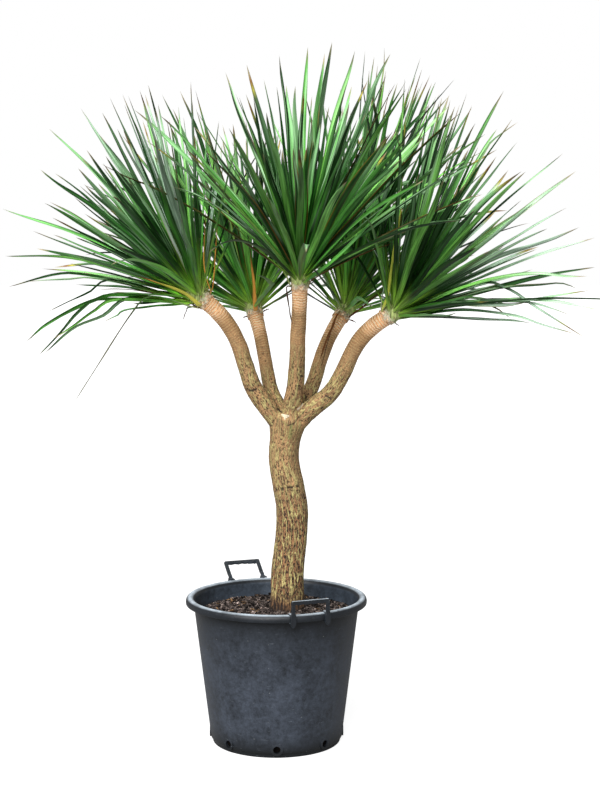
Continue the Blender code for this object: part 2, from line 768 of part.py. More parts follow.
def grow_green(head, draw, limbs, rivals):
    """A head's green leaves, from the upright middle ones to the spread outer ones."""
    tip, stem = head_frame(head)
    base = tip + stem * (COLLAR_HEIGHT + 2 * GAP)
    facing, longest, count = HEADS[head]
    axis = Vector(facing).normalized()
    level = axis.orthogonal().normalized()
    leaves, trees, outers = [], [], []
    for number in range(count):
        age = (number + 0.5) / count
        turn = number * GOLDEN_ANGLE + draw.uniform(-0.12, 0.12)
        lean = LEAF_SPREAD * age**0.62 + math.radians(draw.uniform(-3, 3))
        length = longest * (0.76 + 0.24 * min(1.0, age * 3.2) - 0.08 * age) * draw.uniform(0.90, 1.05)
        width = LEAF_WIDTH * draw.uniform(0.88, 1.06) * (0.84 + 0.16 * min(1.0, age * 4))
        droop = 0.05 + 0.10 * draw.random() + age**4 * draw.uniform(0.05, 0.95)
        twist = math.radians(draw.uniform(-32, 32))
        best = None
        for trial in range(LEAF_TRIES):
            loose = math.radians(0.7 * trial)
            about = turn + draw.uniform(-1.6, 1.6) * loose
            tilt = max(0.0, lean + draw.uniform(-1, 0.6) * loose)
            cut = 1.0 if trial < 12 else 1.0 - 0.028 * (trial - 11)
            outward = level.copy()
            outward.rotate(Matrix.Rotation(about, 3, axis))
            heading = axis * math.cos(tilt) + outward * math.sin(tilt)
            up_stem = 0.005 + (CROWN_HEIGHT - 0.024) * (1 - age)
            seat = base + stem * up_stem + outward * (0.004 + 0.010 * age)
            rows = leaf_line(seat, heading, axis.cross(outward), length * cut, droop, twist)
            if near_limb(rows, limbs, head):
                continue
            tree = leaf_tree((rows, width, LEAF_STATIONS), CLEARANCE)
            if not clear_of(tree, rivals):
                continue
            outer = leaf_tree((rows, width, OUTER_STATIONS))
            crossed = sum(bool(outer.overlap(other)) for other in outers)
            if best is None or crossed < best[0]:
                best = (crossed, (rows, width, LEAF_STATIONS), tree, outer)
            if crossed == 0 or (trial > 9 and crossed <= 1):
                break
        if best:
            leaves.append(best[1])
            trees.append(best[2])
            outers.append(best[3])
    return leaves, trees


def blades(leaves):
    return [place("blade", mesh_from("blade", *leaf_solid(*leaf))) for leaf in leaves]


def make_heads(green_material, dry_material):
    """A collar with its dry leaves, and a crown with its green leaves, on the end of each branch."""
    dry, green = grow()
    for head in HEADS:
        print(head, len(green[head]), "green leaves,", len(dry[head]), "dry")
        for name, core, leaves, material in (
            ("collar_" + head, collar_mesh(head), dry[head], dry_material),
            ("head_" + head, crown_mesh(head), green[head], green_material),
        ):
            mesh = joined(name, place("core", core), blades(leaves), solver="MANIFOLD")
            place(name, outer_body(mesh), material)


def main():
    for old in list(bpy.data.objects):
        bpy.data.objects.remove(old)
    plastic = finish("black_plastic", colour(0.035, 0.040, 0.048), 0.62)
    bark = finish("bark", colour(0.38, 0.27, 0.16), 0.85)
    earth = finish("earth", colour(0.055, 0.038, 0.028), 0.95)
    green = finish("green_leaf", colour(0.045, 0.150, 0.045), 0.42)
    straw = finish("dry_leaf", colour(0.48, 0.30, 0.12), 0.70)
    make_tub(plastic)
    for name in HANDLES:
        make_handle(name, plastic)
    make_soil(earth)
    make_trunk(bark)
    make_heads(green, straw)


main()
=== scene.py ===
"""Potted dragon tree: the looks of its pot, trunk and heads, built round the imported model.

Metres, +Z up. The origin is on the floor, at the middle of the tub's base. -Y is the front.
"""

import functools
import math
import random

import bmesh
import bpy
import numpy as np
from bpy.props import FloatProperty, FloatVectorProperty, IntProperty, PointerProperty
from mathutils import Matrix, Vector, noise
from mathutils.bvhtree import BVHTree


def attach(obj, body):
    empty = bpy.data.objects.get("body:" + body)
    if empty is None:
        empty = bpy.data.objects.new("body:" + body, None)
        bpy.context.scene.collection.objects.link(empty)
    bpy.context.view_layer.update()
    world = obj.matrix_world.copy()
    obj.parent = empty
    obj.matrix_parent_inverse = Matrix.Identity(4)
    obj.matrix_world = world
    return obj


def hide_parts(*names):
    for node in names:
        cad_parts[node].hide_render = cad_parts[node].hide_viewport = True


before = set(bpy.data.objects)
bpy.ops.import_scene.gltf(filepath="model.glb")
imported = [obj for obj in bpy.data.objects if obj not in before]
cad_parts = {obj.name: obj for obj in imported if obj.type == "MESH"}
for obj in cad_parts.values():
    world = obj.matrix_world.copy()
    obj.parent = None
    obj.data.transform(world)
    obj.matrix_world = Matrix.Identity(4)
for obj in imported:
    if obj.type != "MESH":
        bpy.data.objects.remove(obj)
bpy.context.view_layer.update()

bl_info = {
    "name": "Potted dragon tree",
    "version": (1, 0, 0),
    "blender": (4, 5, 0),
    "location": "3D View > Sidebar > Dragon tree",
    "description": "Builds the finished surfaces of a potted dragon tree",
    "category": "Add Mesh",
}

BODY = "root"
GAP = 0.0003

# Tub: the lathe profile, drain holes and lip, as on the solid.
TUB_HEIGHT = 0.405
LIP_RADIUS = 0.250
LIP_DEPTH = 0.0200
LIP_SKIN = 0.0045
WALL_TOP_RADIUS = 0.2278
BASE_RADIUS = 0.1818
FOOT_RADIUS = 0.1765
FOOT_HEIGHT = 0.011
WALL = 0.0045
FLOOR = 0.005
CORNER_RADIUS = 0.0035
DRAIN_COUNT = 8
DRAIN_RADIUS = 0.010
DRAIN_HEIGHT = 0.0245
BOSS_RADIUS = 0.0165
BOSS_PROUD = 0.0018
BOSS_BEDDED = 0.0024

# Soil: its level, its heap round the trunk and the trunk's foot in it.
SOIL_LEVEL = 0.358
SOIL_HEAP = 0.010
SOIL_LUMP = 0.0035
SOIL_PLAY = 0.0016
ROOT_DEPTH = 0.16
ROOT_RADIUS = 0.0465
HOLE_RADIUS = 0.0522
FOOT_CENTRE = (0.031, 0.025)
HEAP_WIDTH = 0.085

# Bark: the radii that its patterns are laid out at, the lumpy flare at the foot, the height below which it
# is plain, and how much nearer than the next limb one has to be for its own pattern to show in full.
BOLE_RADIUS = 0.044
BRANCH_RADIUS = 0.022
FLARE_TOP = 0.405
FLARE_HEIGHT = 0.050
PLAIN_BELOW = 0.335
JOIN_BLEND = 0.45

# Starts of the random draws.
CRUMB_SEED = 5
COLLAR_SEED = 31
HEAD_SEED = 211
MORE_DRY_SEED = 71
SOLID_LEAF_SEED = 1009
THIN_SEED = 59
OUTLINE_SEED = 401
FILL_SEED = 977

# Trunk and branches: (x, y, z, radius) along each axis, from below upwards.
TRUNK_LINE = (
    (0.031, 0.025, 0.345, 0.0487), (0.031, 0.024, 0.392, 0.0462), (0.033, 0.022, 0.476, 0.0448),
    (0.042, 0.020, 0.565, 0.0438), (0.043, 0.017, 0.640, 0.0435), (0.034, 0.013, 0.700, 0.0428),
    (0.021, 0.008, 0.780, 0.0412), (0.024, 0.004, 0.840, 0.0425), (0.031, 0.002, 0.885, 0.0500),
    (0.034, 0.002, 0.912, 0.0440),
)
BRANCH_LINES = {
    "left": (
        (0.020, -0.004, 0.868, 0.026), (-0.018, -0.012, 0.921, 0.0262), (-0.060, -0.018, 0.980, 0.0240),
        (-0.083, -0.022, 1.045, 0.0222), (-0.101, -0.028, 1.102, 0.0215), (-0.128, -0.034, 1.153, 0.0218),
        (-0.160, -0.040, 1.192, 0.0222), (-0.187, -0.045, 1.216, 0.0220),
    ),
    "back_left": (
        (0.026, 0.012, 0.880, 0.024), (0.006, 0.034, 0.925, 0.0215), (-0.016, 0.062, 0.972, 0.0200),
        (-0.030, 0.090, 1.040, 0.0190), (-0.040, 0.112, 1.092, 0.0188), (-0.050, 0.133, 1.135, 0.0195),
        (-0.059, 0.150, 1.168, 0.0205),
    ),
    "centre": (
        (0.036, -0.004, 0.880, 0.028), (0.042, -0.012, 0.925, 0.0262), (0.052, -0.030, 0.980, 0.0238),
        (0.057, -0.052, 1.045, 0.0222), (0.059, -0.074, 1.115, 0.0208), (0.063, -0.096, 1.190, 0.0202),
        (0.065, -0.116, 1.256, 0.0212),
    ),
    "back_right": (
        (0.046, 0.012, 0.880, 0.025), (0.072, 0.034, 0.930, 0.0215), (0.100, 0.062, 0.982, 0.0205),
        (0.120, 0.090, 1.042, 0.0198), (0.137, 0.113, 1.089, 0.0195), (0.157, 0.132, 1.128, 0.0200),
        (0.178, 0.150, 1.163, 0.0208),
    ),
    "right": (
        (0.044, -0.004, 0.872, 0.027), (0.092, -0.010, 0.921, 0.0262), (0.146, -0.015, 0.965, 0.0238),
        (0.181, -0.020, 1.022, 0.0226), (0.205, -0.025, 1.076, 0.0222), (0.232, -0.031, 1.119, 0.0226),
        (0.264, -0.037, 1.151, 0.0228), (0.294, -0.042, 1.173, 0.0225),
    ),
}
BRANCH_STEPS = 11

# Heads: the way each tuft faces, its longest leaf and its number of green leaves in the solids.
HEADS = {
    "centre": ((0.13, -0.27, 0.95), 0.655, 62),
    "left": ((-0.62, -0.13, 0.77), 0.620, 64),
    "right": ((0.57, -0.12, 0.81), 0.675, 62),
    "back_left": ((-0.20, 0.40, 0.89), 0.620, 54),
    "back_right": ((0.26, 0.37, 0.89), 0.690, 54),
}
GOLDEN_ANGLE = math.radians(137.508)
LEAF_SPREAD = math.radians(60)
LEAF_WIDTH = 0.0235
LEAF_THICK = 0.0026
LEAF_STATIONS = (0.0, 0.32, 0.66, 1.0)
OUTER_STATIONS = (0.0833, 0.32, 0.66, 1.0)
DRY_STATIONS = (0.0, 0.0833, 0.36, 0.68, 1.0)
# A leaf's width along its length, as (share of length, share of greatest width).
LEAF_SHAPE = (
    (0.0, 0.66), (0.08, 0.72), (0.20, 0.97), (0.36, 1.0),
    (0.60, 0.86), (0.80, 0.58), (0.92, 0.30), (1.0, 0.0),
)
LINE_STEPS = 24
CLEARANCE = 0.0011
LIMB_CLEARANCE = 0.010
# A leaf may come nearer to its own branch within this distance of the branch's end.
NECK_REACH = 0.028
# How often each kind of leaf is tried in another place before it is given up.
DRY_TRIES = 40
LEAF_TRIES = 26
TIP_TRIES = 14
BENT_TRIES = 8
FILL_TRIES = 14
CROWN_RADIUS = 0.0255
CROWN_HEIGHT = 0.062
COLLAR_HEIGHT = 0.013
COLLAR_PROUD = 0.0022
MORE_DRY = 2
# Share of their length at which the dry leaves behind the collars, and the yellow leaf, are shown.
BACK_DRY_SHARE = 0.15
YELLOW_SHARE = 0.72
# A leaf whose heading has a y below this points at the camera.
AT_CAMERA = -0.75

# How wide the leaves of each head are, against the leaf width of the settings.
HEAD_WIDTH = {"centre": 1.10, "left": 1.0, "right": 1.0, "back_left": 0.87, "back_right": 0.87}

# Dry leaves that are placed singly: width, colour, and points on the way to the tip.
DRY_LEAVES = {
    "left": (
        (0.0075, "orange", ((-0.188, -0.066, 1.290), (-0.191, -0.070, 1.356), (-0.182, -0.080, 1.485))),
        (0.0070, "orange", ((-0.167, -0.052, 1.268), (-0.162, -0.054, 1.333), (-0.152, -0.062, 1.459))),
        (0.0150, "yellow", (
            (-0.240, -0.075, 1.238), (-0.301, -0.090, 1.265), (-0.385, -0.110, 1.288),
            (-0.451, -0.125, 1.268),
        )),
        (0.0090, "brown", (
            (-0.240, -0.050, 1.222), (-0.332, -0.052, 1.240), (-0.400, -0.055, 1.250),
            (-0.483, -0.060, 1.250),
        )),
        (0.0070, "grey", (
            (-0.236, -0.072, 1.207), (-0.333, -0.078, 1.232), (-0.388, -0.080, 1.180),
            (-0.469, -0.084, 1.057), (-0.538, -0.086, 0.948),
        )),
        (0.0075, "dark", ((-0.228, -0.062, 1.212), (-0.240, -0.068, 1.190), (-0.248, -0.070, 1.166))),
    ),
    "back_left": (
        (0.0120, "orange", ((-0.060, 0.112, 1.215), (-0.064, 0.100, 1.283), (-0.075, 0.088, 1.369))),
    ),
    "centre": (
        (0.0050, "brown", (
            (0.095, -0.142, 1.276), (0.157, -0.165, 1.312), (0.241, -0.190, 1.351), (0.310, -0.210, 1.376),
        )),
        (0.0080, "dark", (
            (0.030, -0.132, 1.258), (0.033, -0.128, 1.226), (0.039, -0.121, 1.185), (0.046, -0.113, 1.156),
        )),
        (0.0110, "green_brown", (
            (0.020, -0.150, 1.302), (-0.053, -0.190, 1.368), (-0.141, -0.225, 1.458), (-0.216, -0.250, 1.528),
        )),
    ),
    "back_right": (
        (0.0080, "brown", ((0.205, 0.130, 1.168), (0.244, 0.115, 1.198), (0.294, 0.098, 1.241))),
        (0.0060, "brown", (
            (0.166, 0.118, 1.166), (0.155, 0.106, 1.140), (0.141, 0.087, 1.110), (0.128, 0.068, 1.070),
            (0.118, 0.056, 1.048),
        )),
    ),
    "right": (
        (0.0170, "lime", (
            (0.298, -0.082, 1.235), (0.305, -0.092, 1.296), (0.324, -0.104, 1.425), (0.338, -0.110, 1.490),
        )),
        (0.0100, "pale", ((0.292, -0.060, 1.290), (0.269, -0.058, 1.344), (0.232, -0.050, 1.402))),
    ),
}
# Colours of the dry leaves that no green leaf may hide, and how near to them one may pass in the photograph.
SHOWN_DRY = ("orange", "yellow", "lime", "pale")
SPOT_PIXELS = 3.0

# Camera, fitted to the tub's outline in the photograph, whose frame is 600 by 800 pixels.
PHOTO_WIDTH = 600
PHOTO_HEIGHT = 800
CAMERA_PLACE = (0.0651, -4.5, 1.398)
CAMERA_DIP = math.radians(5.73)
FOCAL_PIXELS = 1658.4
SENSOR_MM = 36.0

# Tips of green leaves in the photograph, in its pixels, by the head that they grow from.
LEAF_TIPS = {
    "left": (
        (122, 94), (128, 95), (140, 90), (147, 93), (157, 105), (110, 97), (100, 131), (79, 110), (50, 128),
        (40, 170), (4, 207), (36, 250), (118, 128), (133, 118), (168, 120), (176, 134),
    ),
    "back_left": (
        (162, 95), (180, 91), (195, 90), (196, 108), (203, 120), (172, 109), (144, 125), (222, 140),
        (236, 168), (248, 196), (214, 178), (188, 142), (150, 190), (165, 165), (185, 155), (205, 150),
        (225, 125), (245, 118), (262, 124), (280, 134), (300, 144), (318, 156), (330, 176), (206, 268),
        (212, 284), (224, 300), (290, 262), (285, 276), (216, 240), (294, 240),
    ),
    "centre": (
        (279, 55), (308, 47), (322, 53), (331, 42), (352, 50), (246, 110), (228, 128), (205, 150), (196, 168),
        (358, 118), (380, 140), (402, 158), (424, 180), (236, 94),
    ),
    "back_right": (
        (365, 50), (361, 72), (372, 70), (369, 81), (378, 64), (388, 45), (382, 79), (396, 53), (405, 79),
        (421, 57), (408, 96), (419, 87), (423, 80), (432, 83), (438, 82), (442, 94), (426, 112), (376, 56),
        (390, 88), (394, 66), (410, 84), (424, 68), (436, 96), (372, 98), (384, 100), (300, 150), (315, 135),
        (335, 120), (350, 110), (400, 120), (420, 130), (440, 150), (446, 172), (398, 268), (392, 282),
        (384, 298), (372, 306), (312, 270), (319, 286), (402, 250), (400, 66), (412, 68), (386, 70),
        (428, 74), (416, 74),
    ),
    "right": (
        (449, 94), (467, 93), (482, 75), (475, 123), (503, 90), (510, 110), (512, 117), (524, 106),
        (534, 106), (517, 143), (547, 130), (525, 171), (563, 153), (581, 180), (579, 227), (594, 266),
        (455, 120), (470, 150), (498, 130), (440, 110), (446, 134), (460, 104),
    ),
}
# Green leaves that hang or bend: width, and photograph pixels from near the head to the tip.
BENT_LEAVES = {
    "left": (
        (0.009, ((117, 280), (82, 274), (56, 274), (4, 286))),
        (0.007, ((101, 279), (67, 279), (27, 283))),
        (0.010, ((114, 280), (87, 292), (49, 312))),
        (0.014, ((119, 294), (92, 301), (65, 315), (21, 340))),
        (0.012, ((105, 298), (81, 309), (60, 331), (36, 354))),
        (0.013, ((130, 297), (103, 315), (74, 328), (44, 353))),
        (0.011, ((119, 300), (95, 312), (74, 327), (54, 339))),
        (0.007, ((130, 309), (117, 316), (104, 323))),
        (0.013, ((130, 272), (98, 263), (65, 257), (5, 255))),
    ),
    "right": (
        (0.013, ((480, 292), (536, 285), (561, 282), (578, 288))),
        (0.012, ((480, 300), (520, 300), (550, 296), (592, 290))),
        (0.015, ((470, 303), (528, 300), (576, 304), (599, 308))),
        (0.011, ((475, 284), (507, 289), (536, 308), (585, 337))),
        (0.009, ((460, 302), (520, 303), (552, 310), (572, 316))),
        (0.012, ((460, 310), (512, 315), (544, 326), (574, 334))),
        (0.008, ((470, 303), (494, 308), (512, 320))),
        (0.018, ((440, 302), (480, 304), (526, 301))),
        (0.012, ((470, 285), (532, 275), (568, 276), (588, 277))),
    ),
    "centre": (
        (0.012, ((262, 262), (225, 235), (198, 196))),
        (0.012, ((330, 262), (366, 226), (402, 190))),
    ),
}

# Bark from a head downwards: distance from the head, ground colour, colour of what is raised, strength of
# the rings and of the net of ridges.
BRANCH_ZONES = (
    (0.000, "neck_orange", "neck_cream", 1.0, 0.0), (0.040, "neck_orange", "neck_cream", 1.0, 0.0),
    (0.072, "bark_tan", "bark_pale", 0.95, 0.10), (0.120, "bark_tan", "bark_pale", 0.70, 0.30),
    (0.150, "bark_tan", "bark_pale", 0.40, 0.50), (0.185, "bark_pink", "bark_olive", 0.18, 0.78),
    (0.230, "bark_pink", "bark_olive", 0.05, 0.86), (0.700, "bark_pink", "bark_olive", 0.0, 0.84),
)
# Bark of the trunk: height above the floor, and the same.
BOLE_ZONES = (
    (0.362, "bark_dark", "bark_dark", 0.0, 1.0), (0.385, "bark_dark", "bark_brown", 0.0, 1.0),
    (0.420, "bark_brown", "bark_olive", 0.0, 1.0), (0.620, "bark_brown", "bark_olive", 0.0, 0.98),
    (0.720, "bark_pink", "bark_olive", 0.0, 0.84), (0.950, "bark_pink", "bark_olive", 0.0, 0.76),
)
# Strokes on the bark by colour: strength, depth, and photograph pixels from end to end with a half width.
BARK_MARKS = {
    "bark_dark": (0.95, 0.0018, (
        (250, 390.6, 252.5, 390.8, 0.0026), (254, 390, 256.5, 389, 0.0020),
        (325.5, 395.4, 330.5, 398.6, 0.0023), (301, 376, 303, 376.4, 0.0020), (278, 409, 281, 412, 0.0030),
        (288, 425.5, 294, 423.5, 0.0017), (294, 423.5, 299, 417, 0.0013), (276, 489.2, 276.3, 490, 0.0030),
        (282.2, 488.6, 282.6, 489.6, 0.0032), (288.4, 487.6, 292, 487.3, 0.0025),
        (297, 486, 298.4, 486.4, 0.0027), (304.6, 495, 305.2, 498, 0.0034), (272.8, 447, 273.2, 448, 0.0013),
        (296, 462, 296.2, 463, 0.0012), (281.4, 468, 281.8, 469.4, 0.0014), (275, 466, 275.4, 468, 0.0018),
        (280.6, 450, 280.8, 451, 0.0012), (263, 353, 263.2, 354, 0.0013), (265.4, 360, 265.6, 361, 0.0013),
        (262.4, 347, 262.6, 348, 0.0010), (260.6, 357, 260.8, 358, 0.0010), (331, 331, 327, 345, 0.0008),
        (327, 345, 322, 365, 0.0009),
    )),
    "neck_cream": (0.75, 0.0, (
        (282, 414.5, 288.5, 416, 0.0021), (283, 416, 286.5, 417.4, 0.0018),
        (284.2, 417.5, 285, 419.5, 0.0014), (298, 409, 302, 404, 0.0030),
    )),
    "bark_moss": (0.6, 0.0, (
        (282.5, 421.5, 288, 425.5, 0.0017), (299, 417, 303.5, 411.5, 0.0013), (291, 426, 289.6, 437, 0.0050),
    )),
}
# The dense part of the crown in the photograph, clockwise from the left neck, in its pixels.
DENSE_CROWN = (
    (204, 306), (165, 298), (140, 294), (120, 284), (112, 262), (106, 240), (104, 216), (106, 190),
    (112, 166), (118, 148), (128, 134), (140, 126), (166, 118), (188, 116), (198, 130), (211, 160),
    (226, 150), (246, 150), (264, 146), (286, 148), (310, 140), (326, 118), (340, 98), (352, 88), (374, 86),
    (394, 92), (412, 98), (428, 104), (444, 112), (456, 120), (472, 118), (480, 138), (472, 164), (466, 190),
    (460, 215), (458, 240), (462, 262), (468, 280), (470, 296), (448, 304), (418, 313), (388, 322),
    (341, 326), (300, 300), (255, 326),
)


def linear(code):
    """Linear red, green and blue of an sRGB hex code."""
    shades = []
    for start in (1, 3, 5):
        share = int(code[start : start + 2], 16) / 255
        shades.append(share / 12.92 if share <= 0.04045 else ((share + 0.055) / 1.055) ** 2.4)
    return tuple(shades)


def length_setting(name, description, default):
    return FloatProperty(name=name, description=description, default=default, min=0.0, unit="LENGTH")


def count_setting(name, description, default, least=0):
    return IntProperty(name=name, description=description, default=default, min=least)


def strength_setting(name, description, default):
    return FloatProperty(name=name, description=description, default=default, min=0.0)


def colour_setting(name, description, code):
    return FloatVectorProperty(
        name=name, description=description, default=linear(code), size=3, min=0.0, max=1.0, subtype="COLOR"
    )


class DragonTreeSizes(bpy.types.PropertyGroup):
    leaf_width: length_setting("Leaf width", "Greatest width of a green leaf", 0.0172)
    leaf_skin: length_setting("Leaf thickness", "Thickness of a leaf at its middle", 0.0011)
    extra_leaves: count_setting("Extra leaves", "Leaves that fill each head between those of the solid", 50)
    ring_gap: length_setting("Ring spacing", "From one leaf scar on a branch to the next", 0.0072)
    bark_cell: length_setting("Bark cell", "Edge of one face of the bark", 0.0026)
    tub_sides: count_setting("Tub sides", "Faces round the tub", 192, 24)
    crumbs: count_setting("Crumbs", "Lumps that lie on the soil", 1500)
    chips: count_setting("Chips", "Bits of wood that lie on the soil", 90)


class DragonTreeColours(bpy.types.PropertyGroup):
    leaf_dark: colour_setting("Dark leaf", "Shaded old leaves", "#17420f")
    leaf_mid: colour_setting("Green leaf", "Most leaves", "#4a8c36")
    leaf_bright: colour_setting("Bright leaf", "Young leaves with light through them", "#6fb44c")
    # Pale leaves, and painted sheen on leaves that face the light.
    leaf_pale: colour_setting("Pale leaf", "Leaves that the light has bleached", "#bcdabf")
    # Painted sheen: the light that the waxy leaves throw back, painted as a pale colour.
    leaf_painted_sheen: colour_setting("Leaf sheen", "Wax that throws the light back", "#b4e4ac")
    leaf_fresh: colour_setting("Leaf near its base", "Yellow-green first part of a leaf", "#9ad048")
    leaf_base: colour_setting("Leaf base", "Cream where a leaf leaves the stem", "#e6e0a8")
    leaf_tip: colour_setting("Leaf tip", "Dried end of a leaf", "#8a7f62")
    leaf_rust: colour_setting("Leaf margin", "Rusty edge of a leaf", "#a45a2c")
    dry_orange: colour_setting("Orange leaf", "Leaf that has just dried", "#eda650")
    dry_yellow: colour_setting("Yellow leaf", "Leaf that starts to dry", "#d8d058")
    dry_brown: colour_setting("Brown leaf", "Leaf that has dried", "#6f4526")
    dry_grey: colour_setting("Grey leaf", "Old dry leaf", "#8b8a70")
    neck_orange: colour_setting("Fresh bark", "Young bark just below a head", "#ffc388")
    neck_cream: colour_setting("Fresh scar", "Raised edge of a new leaf scar", "#fff0d4")
    scar_line: colour_setting("Scar line", "Groove between two leaf scars", "#8f5734")
    bark_tan: colour_setting("Tan bark", "Bark of the upper branches", "#b0875c")
    bark_pale: colour_setting("Pale bark", "Raised rings of the upper branches", "#cdb07c")
    bark_pink: colour_setting("Pink bark", "Thin bark between the ridges", "#a9845a")
    bark_brown: colour_setting("Brown bark", "Weathered bark lower down", "#876240")
    bark_olive: colour_setting("Olive bark", "Raised net of corky ridges", "#cbbd7c")
    bark_dark: colour_setting("Bark hollows", "Small hollows in the bark", "#21140b")
    bark_moss: colour_setting("Mossy bark", "Greenish patch at the fork", "#7c8048")
    tub_black: colour_setting("Tub", "Black plastic of the tub", "#131619")
    tub_dust: colour_setting("Tub dust", "Dusty and worn plastic", "#454c58")
    # Painted light on the inside of the wall, paler and bluer than the plastic.
    tub_inside_light: colour_setting("Inside dust", "Dust on the inside of the wall", "#4c5866")
    # Pale dust and scratches, and a painted highlight on what faces up.
    tub_wear_and_highlight: colour_setting("Settled dust", "Pale dust and wear on what faces up", "#cdd9e4")
    tub_lime: colour_setting("Lime specks", "Dried drops of hard water", "#b4b6b2")
    soil_dark: colour_setting("Damp soil", "Soil in its hollows", "#150d09")
    soil_grey: colour_setting("Dry soil", "Dry lumps of soil", "#c9b5ac")
    chip_tan: colour_setting("Wood chip", "Bits of wood in the soil", "#b08a62")
    floor_grey: colour_setting("Floor", "Studio floor, before it is shown lighter", "#989898")


class DragonTreeStudio(bpy.types.PropertyGroup):
    sky: strength_setting("Surround", "Strength of the light from all round", 0.36)
    key: strength_setting("Main light", "Strength of the main light", 5.2)
    floor_lift: strength_setting("Floor lift", "How much lighter the floor is shown", 0.86)
    softness: FloatProperty(
        name="Softness", description="Width of the main light", default=math.radians(50), min=0.0,
        subtype="ANGLE",
    )


def sizes():
    return bpy.context.scene.dragon_tree_sizes


def rgba(name):
    return (*getattr(bpy.context.scene.dragon_tree_colours, name), 1.0)


def shade(name):
    """A named colour of the colour settings, as an array."""
    return np.array(rgba(name)[:3])


def place(name, mesh, material=None):
    made = bpy.data.objects.new(name, mesh)
    bpy.context.scene.collection.objects.link(made)
    if material:
        mesh.materials.clear()
        mesh.materials.append(material)
    return made


def finished(piece, slot, *nodes):
    """The piece rides on the tree's one body and stands for the named nodes; its slot is not used."""
    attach(piece, BODY)
    if nodes:
        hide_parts(*nodes)


def mesh_from(name, points, faces):
    mesh = bpy.data.meshes.new(name)
    mesh.from_pydata([tuple(p) for p in points], [], faces)
    return mesh


def mesh_of(name, shape):
    """The mesh of a bmesh, which is freed."""
    mesh = bpy.data.meshes.new(name)
    shape.to_mesh(mesh)
    shape.free()
    return mesh


def evaluated_mesh(name, obj):
    """The mesh of an object with its modifiers applied. The object is removed."""
    bpy.context.view_layer.update()
    graph = bpy.context.evaluated_depsgraph_get()
    mesh = bpy.data.meshes.new_from_object(obj.evaluated_get(graph))
    mesh.name = name
    bpy.data.objects.remove(obj)
    return mesh


def remeshed(name, mesh, cell, rounds):
    """A mesh made again in small cells and then relaxed, so that its edges turn soft."""
    made = place(name + "_rough", mesh)
    remesh = made.modifiers.new("cells", "REMESH")
    remesh.mode = "VOXEL"
    remesh.voxel_size = cell
    relax = made.modifiers.new("relax", "SMOOTH")
    relax.factor = 0.5
    relax.iterations = rounds
    soft = evaluated_mesh(name, made)
    soft.shade_smooth()
    return soft


def point_layers(mesh, **layers):
    """Stores values for each point of a mesh, for its material to read: numbers, vectors or colours."""
    kinds = {1: ("FLOAT", "value"), 3: ("FLOAT_VECTOR", "vector"), 4: ("FLOAT_COLOR", "color")}
    for name, values in layers.items():
        flat = np.asarray(values, dtype=np.float32).ravel()
        kind, field = kinds[len(flat) // len(mesh.vertices)]
        mesh.attributes.new(name, kind, "POINT").data.foreach_set(field, flat)


def points_of(mesh):
    flat = np.empty(len(mesh.vertices) * 3, dtype=np.float32)
    mesh.vertices.foreach_get("co", flat)
    return flat.reshape(-1, 3).astype(float)


def face_tree(mesh):
    return BVHTree.FromPolygons([v.co for v in mesh.vertices], [tuple(p.vertices) for p in mesh.polygons])


def add_node(tree, kind, inputs=(), ramp=(), **settings):
    """Adds a shader node with its settings and links.

    Inputs are in order, or by socket in a dict. Each is a value, an output, or a node whose result it
    takes. A ramp lists its stops as (place, grey).
    """
    node = tree.nodes.new("ShaderNode" + kind)
    for key, value in settings.items():
        setattr(node, key, value)
    for key, value in inputs.items() if isinstance(inputs, dict) else enumerate(inputs):
        if isinstance(value, bpy.types.Node):
            value = value.outputs[2 if value.bl_idname == "ShaderNodeMix" else 0]
        if isinstance(value, bpy.types.NodeSocket):
            tree.links.new(value, node.inputs[key])
        else:
            node.inputs[key].default_value = value
    stops = node.color_ramp.elements if ramp else ()
    while len(stops) < len(ramp):
        stops.new(1.0)
    for stop, (where, value) in zip(stops, ramp):
        stop.position = where
        stop.color = (value, value, value, 1.0)
    return node


def new_material(name):
    """A material without nodes, and add_node for its tree."""
    made = bpy.data.materials.new(name)
    made.use_nodes = True
    made.node_tree.nodes.clear()
    return made, functools.partial(add_node, made.node_tree)


def per_metre(*sizes_mm):
    """Whole repeats in a metre of patterns of these sizes in millimetres."""
    repeats = [float(round(1000 / size)) for size in sizes_mm]
    return repeats if len(repeats) > 1 else repeats[0]


